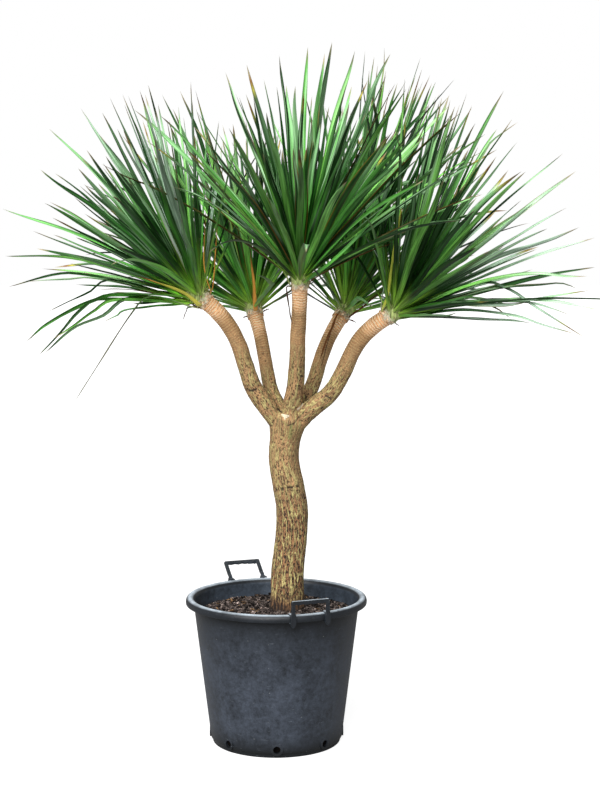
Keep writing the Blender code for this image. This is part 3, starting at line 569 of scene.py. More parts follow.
def moulded_polypropylene(name, dust_and_highlight_strength):
    """Recycled black polypropylene, moulded: satin, finely grained, scuffed, and pale where it faces up, from
    dust and a painted highlight.

    The second argument is how strong the pale dust and the painted highlight are there, from 0 to 1.
    """
    made, add = new_material(name)
    where = add("TexCoord").outputs["Object"]
    # Clouds of dust, smudges and the grain of the mould.
    cloud, smudge, grain = (
        add("TexNoise", {"Vector": where, "Scale": per_metre(size), "Detail": detail, "Roughness": rough})
        for size, detail, rough in ((62, 6.0, 0.68), (11.8, 4.0, 0.65), (2.083, 2.0, 0.7))
    )
    dust = add("Math", (smudge, 0.75, cloud), operation="MULTIPLY_ADD")
    dust = add("Math", (grain, 0.55, dust), operation="MULTIPLY_ADD")
    spread = add("MapRange", (dust, 0.86, 1.44, 0.10, 1.0))
    # Painted shade: the wall is left dark under the lip and at the foot, where the lip and the step shade it,
    # and is dustiest at half height.
    rise = add("SeparateXYZ", (where,)).outputs["Z"]
    share = add("Math", (rise, TUB_HEIGHT), operation="DIVIDE")
    painted_shade_band = add("ValToRGB", (share,), ramp=(
        (0.04, 0.0), (0.08, 0.35), (0.16, 0.92), (0.40, 1.0), (0.66, 0.80), (0.86, 0.40), (0.93, 0.15),
    ))
    # Painted light: the inside of the wall is painted paler and bluer, where the light falls into the tub.
    normal = add("NewGeometry").outputs["Normal"]
    outward = add("VectorMath", (where, normal), operation="DOT_PRODUCT").outputs["Value"]
    inside = add("MapRange", (outward, -0.02, -0.10, 0.0, 0.55))
    # Pale dust and a painted highlight lie in patches on what faces up, above the soil.
    high = add("MapRange", (share, 0.90, 0.96, 0.0, dust_and_highlight_strength))
    dust_and_highlight_on_top = add("MapRange", (add("SeparateXYZ", (normal,)).outputs["Z"], 0.66, 1.0, 0.0, 1.0))
    patchy = add("MapRange", (cloud, 0.36, 0.60, 0.45, 1.0))
    dust_and_highlight_on_top = add("Math", (dust_and_highlight_on_top, patchy), operation="MULTIPLY")
    # Scratches 1 mm wide and 24 mm long: three to each repeat of the stretched space.
    drawn = add("Mapping", {"Vector": where, "Scale": per_metre(71, 71, 3.03), "Rotation": (0.5, 0.35, 0.0)})
    scuff = add("TexNoise", {"Vector": drawn, "Scale": 3.0, "Detail": 2.0})
    scuffed = add("MapRange", (scuff, 0.71, 0.78, 0.0, 0.18))
    # Specks of lime up to 2 mm across, one to a cell at most.
    speck = add("TexVoronoi", {"Vector": where, "Scale": per_metre(14.3)})
    chance = add("SeparateColor", (speck.outputs["Color"],))
    small = add("Math", (chance, 0.085), operation="MULTIPLY")
    within = add("Math", (small, speck), operation="SUBTRACT")
    base = rgba("tub_black")
    for share, colour in (
        (add("Math", (spread, painted_shade_band), operation="MULTIPLY"), "tub_dust"),
        (add("Math", (inside, spread), operation="MULTIPLY"), "tub_inside_light"),
        # Pale dust with a painted highlight on what faces up.
        (add("Math", (dust_and_highlight_on_top, high), operation="MULTIPLY"), "tub_wear_and_highlight"),
        (scuffed, "tub_wear_and_highlight"),
        (add("MapRange", (within, 0.0, 0.02, 0.0, 0.4)), "tub_lime"),
    ):
        base = add("Mix", {0: share, 6: base, 7: rgba(colour)}, data_type="RGBA")
    shader = add("BsdfPrincipled", {
        "Base Color": base, "IOR": 1.49, "Specular IOR Level": 0.34,
        "Roughness": add("MapRange", (dust, 0.86, 1.44, 0.34, 0.56)),
        "Normal": add("Bump", {"Height": dust, "Strength": 0.30, "Distance": 0.0010}),
    })
    add("OutputMaterial", {"Surface": shader})
    return made


def potting_compost():
    """Dry-topped potting compost of peat and bark: dull, near black in its hollows, grey-brown on top."""
    made, add = new_material("potting_compost")
    where = add("TexCoord").outputs["Object"]
    tint = add("Attribute", attribute_name="tint")
    lump = add("TexNoise", {"Vector": where, "Scale": per_metre(6.25), "Detail": 5.0, "Roughness": 0.7})
    mixed = add("ValToRGB", (lump,), ramp=((0.40, 0.03), (0.51, 0.34), (0.66, 1.6)))
    shader = add("BsdfPrincipled", {
        "Base Color": add("Mix", {0: 1.0, 6: tint, 7: mixed}, data_type="RGBA", blend_type="MULTIPLY"),
        "Roughness": 0.92, "Specular IOR Level": 0.12,
        "Normal": add("Bump", {"Height": lump, "Strength": 0.8, "Distance": 0.0025}),
    })
    add("OutputMaterial", {"Surface": shader})
    return made


def dragon_tree_bark():
    """Young dragon tree bark: matt and corky, ringed by leaf scars above and netted with ridges below.

    It reads from each point of the mesh where it lies round and along its limb, in metres, its ground
    colour, the colour of what is raised there, how strong its rings and net are, and any mark.
    """
    made, add = new_material("dragon_tree_bark")
    limb_at = add("Attribute", attribute_name="limb").outputs["Vector"]
    ground, raised, mark = (add("Attribute", attribute_name=name) for name in ("ground", "raised", "mark"))
    rings, net = (add("Attribute", attribute_name=name).outputs["Fac"] for name in ("rings", "net"))
    where = add("TexCoord").outputs["Object"]
    # Patches and cork grain darken and lighten the ground, and rings keep it lighter.
    patch = add("TexNoise", {"Vector": where, "Scale": per_metre(30), "Detail": 5.0, "Roughness": 0.65})
    cork = add("TexNoise", {"Vector": where, "Scale": per_metre(3.85), "Detail": 3.0, "Roughness": 0.7})
    both = add("Math", (cork, 1.2, patch), operation="MULTIPLY_ADD")
    tone = add("MapRange", (both, 0.80, 1.40, 0.44, 1.50))
    clean = add("Math", (rings, 0.24, tone), operation="MULTIPLY_ADD")
    # Leaf scars: a raised edge and a groove every few millimetres, bent a little by noise.
    bend_way = add("Mapping", {"Vector": limb_at, "Scale": per_metre(13.3, 13.3, 22.2)})
    bend = add("TexNoise", {"Vector": bend_way, "Scale": 1.0, "Detail": 2.0})
    run = add("SeparateXYZ", (limb_at,)).outputs["Z"]
    turns = add("Math", (run, math.tau / sizes().ring_gap), operation="MULTIPLY")
    turns = add("Math", (bend, 9.0, turns), operation="MULTIPLY_ADD")
    wave = add("Math", (turns,), operation="SINE")
    groove = add("MapRange", (wave, 0.45, 0.95, 0.0, 0.95), interpolation_type="SMOOTHSTEP")
    edge = add("MapRange", (wave, 0.20, -0.50, 0.0, 0.8), interpolation_type="SMOOTHSTEP")
    gaps = add("MapRange", (cork, 0.42, 0.58, 0.30, 1.0))
    ringed = add("Math", (rings, gaps), operation="MULTIPLY")
    edged, grooved = (add("Math", (form, ringed), operation="MULTIPLY") for form in (edge, groove))
    # Corky ridges run up the limb, part and meet again, broken up by the grain; beside them the bark is
    # painted darker, as painted shade.
    net_way = add("Mapping", {"Vector": limb_at, "Scale": per_metre(8.5, 8.5, 59)})
    course = add("TexNoise", {"Vector": net_way, "Scale": 1.0, "Detail": 2.5})
    beside = add("Math", (course, 0.5), operation="SUBTRACT")
    beside = add("Math", (beside,), operation="ABSOLUTE")
    ridge = add("MapRange", (beside, 0.012, 0.060, 1.0, 0.0), interpolation_type="SMOOTHSTEP")
    ridge_side_shade = add("MapRange", (beside, 0.105, 0.055, 0.0, 0.62), interpolation_type="SMOOTHSTEP")
    ridge_side_shade = add("Math", (ridge_side_shade, net), operation="MULTIPLY")
    corked = add("MapRange", (cork, 0.34, 0.56, 0.35, 1.0))
    ridged = add("Math", (ridge, corked), operation="MULTIPLY")
    ridged = add("Math", (ridged, net), operation="MULTIPLY")
    # Dark hollows, taller than wide, lie between the ridges.
    pit_way = add("Mapping", {"Vector": limb_at, "Scale": per_metre(3.33, 3.33, 7.4)})
    warp = add("TexNoise", {"Vector": pit_way, "Scale": 0.6, "Detail": 2.0}).outputs["Color"]
    moved = add("VectorMath", (warp, (1.5, 1.5, 1.5), pit_way), operation="MULTIPLY_ADD")
    cell = add("TexVoronoi", {"Vector": moved, "Scale": 1.0})
    reach = add("SeparateColor", (cell.outputs["Color"],))
    for _ in range(2):
        reach = add("Math", (reach, net), operation="MULTIPLY")
    reach = add("Math", (reach, 0.68, 0.05), operation="MULTIPLY_ADD")
    inside = add("Math", (reach, cell), operation="SUBTRACT")
    pitted = add("MapRange", (inside, -0.10, 0.06, 0.0, 0.96), interpolation_type="SMOOTHSTEP")
    off_ridge = add("Math", (1.0, ridge), operation="SUBTRACT")
    off_ridge = add("Math", (off_ridge, 0.75, 0.25), operation="MULTIPLY_ADD")
    for limit in (off_ridge, net):
        pitted = add("Math", (pitted, limit), operation="MULTIPLY")
    base = add("VectorMath", {0: ground, "Scale": clean}, operation="SCALE")
    for share, colour in (
        (edged, raised), (grooved, rgba("scar_line")), (ridge_side_shade, (*(shade("bark_brown") * 0.5), 1.0)),
        (ridged, raised), (pitted, rgba("bark_dark")), (mark.outputs["Alpha"], mark),
    ):
        base = add("Mix", {0: share, 6: base, 7: colour}, data_type="RGBA")
    height = cork
    for form, rise in ((edged, 0.9), (ridged, 0.8), (pitted, -1.4)):
        height = add("Math", (form, rise, height), operation="MULTIPLY_ADD")
    relief = add("Bump", {"Height": height, "Strength": 0.8, "Distance": 0.0016})
    shader = add("BsdfPrincipled", {"Base Color": base, "Roughness": 0.80, "Normal": relief})
    add("OutputMaterial", {"Surface": shader})
    return made


def living_leaf(name, roughness, streak_depth):
    """Leaf tissue under a waxy cuticle: long parallel veins, a soft shine, and bands of painted sheen.

    It reads each point's colour and its place on the blade from the mesh: metres across, metres along and
    a number of the leaf's own.
    """
    made, add = new_material(name)
    tint = add("Attribute", attribute_name="tint")
    blade = add("Attribute", attribute_name="blade").outputs["Vector"]
    # Veins, drawn 2.5 mm apart so that they show, broad bands, and bands of painted sheen: their width and
    # length,
    # and how far the pattern shifts from leaf to leaf.
    vein, broad, painted_sheen = (
        add("TexNoise", {
            "Vector": add("Mapping", {"Vector": blade, "Scale": (*per_metre(across, along), shift)}),
            "Scale": 1.0, "Detail": detail,
        })
        for across, along, shift, detail in (
            (2.5, 143, 61.0, 3.0), (7.15, 125, 23.0, 2.0), (6.67, 250, 37.0, 1.0),
        )
    )
    both = add("Math", (vein, broad), operation="ADD")
    lit = add("MapRange", (both, 0.80, 1.20, 1.0 - streak_depth, 1.0 + streak_depth))
    base = add("VectorMath", {0: tint, "Scale": lit}, operation="SCALE")
    # Painted sheen: the bands are painted towards a pale mint, for the light that the wax throws back, as
    # strongly as the colour's alpha says.
    sheen_share = add("MapRange", (painted_sheen, 0.47, 0.63, 0.0, 1.0), interpolation_type="SMOOTHSTEP")
    sheen_share = add("Math", (sheen_share, tint.outputs["Alpha"]), operation="MULTIPLY")
    shader = add("BsdfPrincipled", {
        "Base Color": add("Mix", {0: sheen_share, 6: base, 7: rgba("leaf_painted_sheen")}, data_type="RGBA"),
        "Roughness": add("MapRange", (broad, 0.3, 0.7, roughness - 0.06, roughness + 0.10)),
        "Normal": add("Bump", {"Height": both, "Strength": 0.5, "Distance": 0.0009}),
        "IOR": 1.42, "Specular IOR Level": 0.16,
    })
    add("OutputMaterial", {"Surface": shader})
    return made


def wall_inner(z):
    """Inner radius of the tub's wall at a height."""
    top = TUB_HEIGHT - LIP_DEPTH
    share = (z - FOOT_HEIGHT) / (top - FOOT_HEIGHT)
    return BASE_RADIUS + share * (WALL_TOP_RADIUS - BASE_RADIUS) - WALL


def inner_foot():
    """The bucket's inner profile near the floor, from the floor upwards."""
    return [
        (FOOT_RADIUS - WALL - 0.004, FLOOR), (FOOT_RADIUS - WALL, FLOOR + 0.005),
        (FOOT_RADIUS - WALL, FOOT_HEIGHT + 0.003), (wall_inner(FOOT_HEIGHT + 0.008), FOOT_HEIGHT + 0.008),
    ]


def softened(profile, radius, steps):
    """A profile whose inner corners are rounded by short curves of about this radius."""
    made = [profile[0]]
    for before, corner, after in zip(profile, profile[1:], profile[2:]):
        a, b, c = Vector(before), Vector(corner), Vector(after)
        reach = min(radius, (a - b).length * 0.45, (c - b).length * 0.45)
        start, end = b + (a - b).normalized() * reach, b + (c - b).normalized() * reach
        for step in range(steps + 1):
            t = step / steps
            made.append(tuple(start * (1 - t) ** 2 + b * 2 * t * (1 - t) + end * t * t))
    return [*made, profile[-1]]


def turned(name, profile, sides):
    """A solid of revolution about Z from (radius, z) points that start and end on the axis."""
    shape = bmesh.new()
    verts = [shape.verts.new((radius, 0, z)) for radius, z in profile]
    edges = [shape.edges.new(pair) for pair in zip(verts, verts[1:])]
    bmesh.ops.spin(
        shape, geom=verts + edges, cent=(0, 0, 0), axis=(0, 0, 1),
        angle=math.tau, steps=sides, use_merge=True,
    )
    bmesh.ops.remove_doubles(shape, verts=shape.verts, dist=1e-5)
    bmesh.ops.recalc_face_normals(shape, faces=shape.faces)
    return mesh_of(name, shape)


def drum(name, radius, depth, sides, matrix):
    shape = bmesh.new()
    bmesh.ops.create_cone(
        shape, cap_ends=True, segments=sides, radius1=radius, radius2=radius, depth=depth, matrix=matrix
    )
    return place(name, mesh_of(name, shape))


def combined(name, first, others, operation):
    """One Boolean of several objects on the first, applied, with all of them removed."""
    group = bpy.data.collections.new(name + "_pieces")
    bpy.context.scene.collection.children.link(group)
    for other in others:
        bpy.context.scene.collection.objects.unlink(other)
        group.objects.link(other)
    step = first.modifiers.new("join", "BOOLEAN")
    step.operation = operation
    step.operand_type = "COLLECTION"
    step.collection = group
    mesh = evaluated_mesh(name, first)
    for spare in others:
        bpy.data.objects.remove(spare)
    bpy.data.collections.remove(group)
    return mesh


def tub_profile():
    """Outline of the bucket from the middle of its underside, up the wall, over the lip and down inside."""
    skirt = TUB_HEIGHT - LIP_DEPTH
    outside = [
        (0, 0), (FOOT_RADIUS, 0), (FOOT_RADIUS + 0.001, FOOT_HEIGHT), (BASE_RADIUS, FOOT_HEIGHT + 0.0025),
        (WALL_TOP_RADIUS, skirt), (WALL_TOP_RADIUS + 0.003, TUB_HEIGHT - 0.0075),
        (LIP_RADIUS - 0.0105, TUB_HEIGHT - 0.0050), (LIP_RADIUS - LIP_SKIN, TUB_HEIGHT - 0.0105),
        (LIP_RADIUS - LIP_SKIN + 0.0005, skirt), (LIP_RADIUS - 0.0012, skirt),
        (LIP_RADIUS, TUB_HEIGHT - 0.0125), (LIP_RADIUS - 0.0022, TUB_HEIGHT - 0.0052),
        (LIP_RADIUS - 0.0075, TUB_HEIGHT - 0.0008), (LIP_RADIUS - 0.0140, TUB_HEIGHT),
        (LIP_RADIUS - 0.0210, TUB_HEIGHT - 0.0035),
        (wall_inner(skirt) + 0.0010, TUB_HEIGHT - 0.0115), (wall_inner(skirt - 0.004), skirt - 0.004),
    ]
    return softened([*outside, *reversed(inner_foot()), (0, FLOOR)], CORNER_RADIUS, 4)


def make_tub():
    bucket = place("bucket", turned("bucket", tub_profile(), sizes().tub_sides))
    wall_radius = wall_inner(DRAIN_HEIGHT) + WALL
    bosses, drains = [], []
    for number in range(DRAIN_COUNT):
        about = math.tau * number / DRAIN_COUNT - math.pi / 2 + math.radians(1)
        aim = Matrix.Rotation(about, 4, "Z") @ Matrix.Translation((wall_radius, 0, DRAIN_HEIGHT))
        across = aim @ Matrix.Rotation(math.pi / 2, 4, "Y")
        inset = Matrix.Translation((0, 0, (BOSS_PROUD - BOSS_BEDDED) / 2))
        bosses.append(drum("boss", BOSS_RADIUS, BOSS_PROUD + BOSS_BEDDED, 40, across @ inset))
        drains.append(drum("drain", DRAIN_RADIUS, 0.04, 32, across))
    bossed = place("bossed", combined("bossed", bucket, bosses, "UNION"))
    mesh = combined("nursery_tub", bossed, drains, "DIFFERENCE")
    mesh.shade_smooth()
    mesh.set_sharp_from_angle(angle=math.radians(32))
    # The lip's top takes strong pale dust and a painted highlight.
    plastic = moulded_polypropylene("moulded_polypropylene", 0.9)
    finished(place("nursery_tub", mesh, plastic), "black_plastic", "tub")


def make_handles():
    # How strong the pale dust and the painted highlight on the top of each handle are.
    for node, dust_and_highlight_strength in (("handle_front", 0.7), ("handle_back", 0.1)):
        name = "carrying_" + node
        plastic = moulded_polypropylene("polypropylene_" + node, dust_and_highlight_strength)
        soft = remeshed(name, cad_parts[node].data.copy(), 0.0008, 4)
        finished(place(name, soft, plastic), "black_plastic", node)


def smooth_line(points, count):
    """Catmull-Rom samples through points of any width."""
    rows = [Vector(p) for p in points]
    rows = [rows[0] * 2 - rows[1], *rows, rows[-1] * 2 - rows[-2]]
    spans = len(rows) - 3
    line = []
    for step in range(count + 1):
        place_on = spans * step / count
        k = min(int(place_on), spans - 1)
        t = place_on - k
        a, b, c, d = rows[k : k + 4]
        bend = (2 * a - 5 * b + 4 * c - d) * t**2 + (3 * b - a - 3 * c + d) * t**3
        line.append(0.5 * (2 * b + (c - a) * t + bend))
    return line


def limb_mesh(line, sides):
    """A closed tube along (x, y, z, radius) samples, as a bevelled curve turned into a mesh."""
    curve = bpy.data.curves.new("limb", "CURVE")
    curve.dimensions = "3D"
    curve.bevel_depth = 1.0
    curve.bevel_resolution = sides // 4 - 1
    curve.use_fill_caps = True
    spline = curve.splines.new("POLY")
    spline.points.add(len(line) - 1)
    for point, (x, y, z, radius) in zip(spline.points, line):
        point.co = (x, y, z, 1)
        point.radius = radius
    return evaluated_mesh("limb", place("limb_axis", curve))


def limb_places(points, limbs):
    """For each point: its limb's number, place along it, offset from its axis and joint share.

    The joint share is 0 where two limbs are equally near and 1 well away from any join.
    """
    nearest, second = np.full((2, len(points)), np.inf)
    number = np.zeros(len(points), int)
    along = np.zeros(len(points))
    offset = np.zeros((len(points), 3))
    for index, line in enumerate(limbs):
        axis = np.array([tuple(p) for p in line])
        begun, best = 0.0, np.full(len(points), np.inf)
        for start, end in zip(axis, axis[1:]):
            way = (end - start)[:3]
            length = np.linalg.norm(way)
            share = np.clip((points - start[:3]) @ way / length**2, 0, 1)
            away = points - (start[:3] + share[:, None] * way)
            gap = np.linalg.norm(away, axis=1) / (start[3] + (end[3] - start[3]) * share)
            closer = gap < best
            best = np.where(closer, gap, best)
            take = closer & (gap < nearest)
            # A point that changes to this limb leaves its old distance as the second nearest.
            changed = take & (number != index)
            second[changed] = np.minimum(second[changed], nearest[changed])
            nearest[take] = gap[take]
            number[take] = index
            along[take] = begun + share[take] * length
            offset[take] = away[take]
            begun += length
        other = number != index
        second[other] = np.minimum(second[other], best[other])
    return number, along, offset, np.clip((second - nearest) / JOIN_BLEND, 0, 1)


def noise_at(points, scale, seed):
    """Smooth noise from -1 to 1 at each point, with features of about 1 / scale metres."""
    shift = Vector((seed * 17.3, seed * 5.1, seed * 11.7))
    return np.array([noise.noise(Vector(p) * scale + shift) for p in points])


def seen_ray(pixel):
    """Start and direction of the line of sight through a pixel of the photograph."""
    across = (pixel[0] - PHOTO_WIDTH / 2) / FOCAL_PIXELS
    up = (PHOTO_HEIGHT / 2 - pixel[1]) / FOCAL_PIXELS
    level, fall = math.cos(CAMERA_DIP), math.sin(CAMERA_DIP)
    return Vector(CAMERA_PLACE), Vector((across, level + up * fall, -fall + up * level))


def seen_at(pixel, depth):
    """The point behind a pixel of the photograph, at y = depth."""
    start, way = seen_ray(pixel)
    return start + way * ((depth - start.y) / way.y)


def pixel_of(point):
    """Where the photograph shows a point."""
    away = point - Vector(CAMERA_PLACE)
    level, fall = math.cos(CAMERA_DIP), math.sin(CAMERA_DIP)
    depth = away.y * level - away.z * fall
    up = away.y * fall + away.z * level
    return (PHOTO_WIDTH / 2 + FOCAL_PIXELS * away.x / depth, PHOTO_HEIGHT / 2 - FOCAL_PIXELS * up / depth)


def make_trunk():
    """The trunk and branches as one skin of small cells, with scars, ridges and hollows pressed into it."""
    lines = [smooth_line(points, 60) for points in (TRUNK_LINE, *BRANCH_LINES.values())]
    root_ends = (SOIL_LEVEL - ROOT_DEPTH, lines[0][0].z + 0.030)
    root = [Vector((*FOOT_CENTRE, z, ROOT_RADIUS)) for z in root_ends]
    shape = bmesh.new()
    for line in (*lines, root):
        shape.from_mesh(limb_mesh(line, 48))
    mesh = remeshed("bark", mesh_of("limbs", shape), sizes().bark_cell, 5)
    points = points_of(mesh)
    number, along, offset, lone = limb_places(points, lines)
    bole = number == 0
    out = offset / np.maximum(np.linalg.norm(offset, axis=1), 1e-6)[:, None]
    # Place round the limb, held at one radius so that patterns keep their scale, and along it. Each limb
    # starts 3 m further on, where the patterns are others.
    limb_at = out * np.where(bole, BOLE_RADIUS, BRANCH_RADIUS)[:, None]
    limb_at[:, 2] = along + number * 3.0
    lengths = np.array([sum((b.xyz - a.xyz).length for a, b in zip(line, line[1:])) for line in lines])
    ground, raised, rings, net = bark_zones(points, bole, lengths[number] - along)
    wobble = noise_at(points, 30, 1)
    about = np.arctan2(out[:, 1], out[:, 0])
    flutes = 0.0013 * np.sin(5 * about + 9 * points[:, 2]) + 0.0008 * np.sin(3 * about - 17 * points[:, 2])
    scars = np.sin(math.tau * along / sizes().ring_gap + 3.0 * wobble)
    rise = (0.0010 * ridge_net(limb_at) - 0.0004) * net * (0.4 + 0.6 * lone) - 0.0004 * scars * rings * lone
    rise += np.where(bole, flutes, 0.0) * lone + 0.0009 * wobble
    foot = np.clip((FLARE_TOP - points[:, 2]) / FLARE_HEIGHT, 0, 1) * bole
    rise += foot * (0.0018 + 0.0028 * noise_at(points, 70, 4))
    rise *= np.clip((points[:, 2] - PLAIN_BELOW) / 0.02, 0, 1)
    mark = np.zeros((len(points), 4))
    sight = face_tree(mesh)
    for colour, (most, depth, strokes) in BARK_MARKS.items():
        for x0, y0, x1, y1, half in strokes:
            ends = [sight.ray_cast(*seen_ray(pixel))[0] for pixel in ((x0, y0), (x1, y1))]
            begin, way = np.array(ends[0]), np.array(ends[1] - ends[0])
            share = np.clip((points - begin) @ way / (way @ way), 0, 1)
            away = np.linalg.norm(points - (begin + share[:, None] * way), axis=1) / half
            strength = np.clip(1.7 - away, 0, 1) * most
            more = strength > mark[:, 3]
            mark[more, :3] = shade(colour)
            mark[more, 3] = strength[more]
            rise -= depth * strength
    points += out * rise[:, None]
    mesh.vertices.foreach_set("co", points.astype(np.float32).ravel())
    mesh.update()
    rings = rings * (0.25 + 0.75 * lone)
    point_layers(mesh, limb=limb_at, ground=ground, raised=raised, rings=rings, net=net, mark=mark)
    finished(place("bark", mesh, dragon_tree_bark()), "bark", "trunk")


def bark_zones(points, bole, from_top):
    """Ground colour, raised colour, ring strength and net strength of each point of the bark."""
    shift = 0.010 * noise_at(points, 22, 7)
    columns = []
    for zones, place_on in ((BOLE_ZONES, points[:, 2] + shift), (BRANCH_ZONES, from_top + shift)):
        stops = [zone[0] for zone in zones]
        table = [(*rgba(ground), *rgba(raised), rings, net) for _, ground, raised, rings, net in zones]
        columns.append(np.stack([np.interp(place_on, stops, column) for column in zip(*table)], axis=-1))
    rows = np.where(bole[:, None], *columns)
    return rows[:, :4], rows[:, 4:8], rows[:, 8], rows[:, 9]


def ridge_net(limb_at):
    """How far each point lies on the net of ridges, whose meshes are 8 mm wide and 29 mm tall."""
    ridge = np.zeros(len(limb_at))
    for index, (x, y, z) in enumerate(limb_at):
        bend = noise.noise_vector(Vector((x * 60, y * 60, z * 25))) * 0.55
        near, _ = noise.voronoi(Vector((x * 125, y * 125, z * 34)) + bend)
        ridge[index] = 1 - (near[1] - near[0]) / 0.30
    return np.clip(ridge, 0, 1)


def soil_height(x, y):
    """Crumbly surface that heaps up round the trunk."""
    away = math.hypot(x - FOOT_CENTRE[0], y - FOOT_CENTRE[1])
    heap = SOIL_HEAP * math.exp(-((away / HEAP_WIDTH) ** 2))
    lumps = math.sin(61 * x + 1.3) * math.sin(53 * y + 0.4) + 0.6 * math.sin(113 * x - 89 * y)
    return SOIL_LEVEL + heap + SOIL_LUMP * 0.55 * lumps


def lumpy_height(x, y):
    """The soil's surface with clods, crumbs and grit of 18, 7 and 3 mm."""
    clods = noise.noise(Vector((x * 55, y * 55, 3.0))) * 0.0045
    crumbs = abs(noise.noise(Vector((x * 150, y * 150, 9.0)))) * 0.0050
    grit = noise.noise(Vector((x * 380, y * 380, 21.0))) * 0.0014
    return soil_height(x, y) + clods + crumbs + grit - 0.001


def make_soil():
    """A plug of compost with a crumbly top, an opening for the stem, and loose crumbs and chips on it."""
    around, inward = 300, 64
    outer, inner = wall_inner(SOIL_LEVEL) - SOIL_PLAY, HOLE_RADIUS - 0.003
    # Rings from the floor up the wall, over the top and down the hole: how far each has moved from the
    # tub's middle to the foot's, its radius, and its height where the surface doesn't give it.
    rings = [(0.0, radius - SOIL_PLAY, z + GAP) for radius, z in inner_foot()]
    shares = [step / inward for step in range(inward + 1)]
    rings += [(share, outer * (1 - share) + inner * share, None) for share in shares]
    rings.append((1.0, inner, SOIL_LEVEL - ROOT_DEPTH - GAP))
    points = []
    for share, radius, z in rings:
        for k in range(around):
            x = FOOT_CENTRE[0] * share + radius * math.cos(math.tau * k / around)
            y = FOOT_CENTRE[1] * share + radius * math.sin(math.tau * k / around)
            points.append((x, y, lumpy_height(x, y) if z is None else z))
    faces = [tuple(reversed(range(around)))]
    for row in range(len(rings) - 1):
        for k in range(around):
            a, b = row * around + k, row * around + (k + 1) % around
            faces.append((a, b, b + around, a + around))
    faces.append(tuple(range(len(points) - around, len(points))))
    mesh = mesh_from("compost", points, faces)
    mesh.shade_smooth()
    heights = np.array([p[2] - soil_height(p[0], p[1]) for p in points])
    share = np.clip(heights / 0.009 + 0.25, 0, 1)[:, None] * 0.75
    tint = shade("soil_dark") * (1 - share) + shade("soil_grey") * share
    point_layers(mesh, tint=np.concatenate([tint, np.ones((len(points), 1))], axis=1))
    compost = potting_compost()
    finished(place("compost", mesh, compost), "earth", "soil")
    scatter_crumbs(compost, outer)


def scatter_crumbs(compost, outer):
    """Loose lumps and bits of wood, each a knocked-about ball, sunk a little into the soil."""
    seed_shape = bmesh.new()
    bmesh.ops.create_icosphere(seed_shape, subdivisions=2, radius=1.0)
    ball = [v.co.copy() for v in seed_shape.verts]
    ball_faces = [tuple(v.index for v in f.verts) for f in seed_shape.faces]
    seed_shape.free()
    draw = random.Random(CRUMB_SEED)
    points, faces, tints = [], [], []
    lumps = sizes().crumbs
    for number in range(lumps + sizes().chips):
        chip = number >= lumps
        about, away = draw.uniform(0, math.tau), outer * math.sqrt(draw.random()) * 0.985
        x, y = away * math.cos(about), away * math.sin(about)
        if math.hypot(x - FOOT_CENTRE[0], y - FOOT_CENTRE[1]) < HOLE_RADIUS + 0.004:
            continue
        size = draw.uniform(0.0010, 0.0028) * (1.9 if draw.random() < 0.10 else 1.0)
        stretch = (draw.uniform(0.8, 1.2), draw.uniform(0.8, 1.2), draw.uniform(0.6, 0.9))
        if chip:
            size = draw.uniform(0.004, 0.011)
            stretch = (1.0, draw.uniform(0.22, 0.5), draw.uniform(0.12, 0.22))
        turn = Matrix.Rotation(draw.uniform(0, math.tau), 3, "Z")
        for most, axis in ((0.5, "X"), (0.35, "Y")):
            turn = turn @ Matrix.Rotation(draw.uniform(-most, most), 3, axis)
        centre = Vector((x, y, lumpy_height(x, y) + size * stretch[2] * 0.55))
        spin = Vector((draw.random() * 9, draw.random() * 9, draw.random() * 9))
        if chip:
            tone = shade("chip_tan") * draw.uniform(0.25, 1.1)
        else:
            dry = draw.random() ** 1.6 if draw.random() < 0.45 else 0.04
            tone = (shade("soil_dark") * (1 - dry) + shade("soil_grey") * dry) * draw.uniform(0.7, 1.1)
        start = len(points)
        for unit in ball:
            knock = 1 + 0.95 * noise.noise(unit * 2.1 + spin)
            local = Vector((unit.x * stretch[0], unit.y * stretch[1], unit.z * stretch[2])) * size * knock
            points.append(centre + turn @ local)
            tints.append((*tone, 1.0))
        faces += [tuple(start + k for k in face) for face in ball_faces]
    mesh = mesh_from("crumbs", points, faces)
    point_layers(mesh, tint=tints)
    finished(place("compost_crumbs", mesh, compost), "earth")


def leaf_share(s):
    """Width of a leaf at s, as a share of its greatest width."""
    for (a, wide_a), (b, wide_b) in zip(LEAF_SHAPE, LEAF_SHAPE[1:]):
        if s <= b:
            return wide_a + (wide_b - wide_a) * (s - a) / (b - a)
    return 0.0


def square_to(way, axis):
    """The direction of a way after it is turned square to an axis."""
    return (way - axis * way.dot(axis)).normalized()


def leaning(axis, level, about, tilt):
    """The side that a leaf leans to, turned about an axis from level, and its heading at that tilt."""
    outward = level.copy()
    outward.rotate(Matrix.Rotation(about, 3, axis))
    return outward, axis * math.cos(tilt) + outward * math.sin(tilt)


def leaf_line(root, heading, side, length, droop, twist):
    """Points, sideways and upward directions along a leaf that bends down under its own weight."""
    point, rows = root.copy(), []
    for step in range(LINE_STEPS + 1):
        s = step / LINE_STEPS
        tangent = (heading - Vector((0, 0, droop * s * s))).normalized()
        across = square_to(side, tangent)
        across.rotate(Matrix.Rotation(twist * s, 3, tangent))
        rows.append((point.copy(), across, across.cross(tangent).normalized()))
        point += tangent * length / LINE_STEPS
    return rows


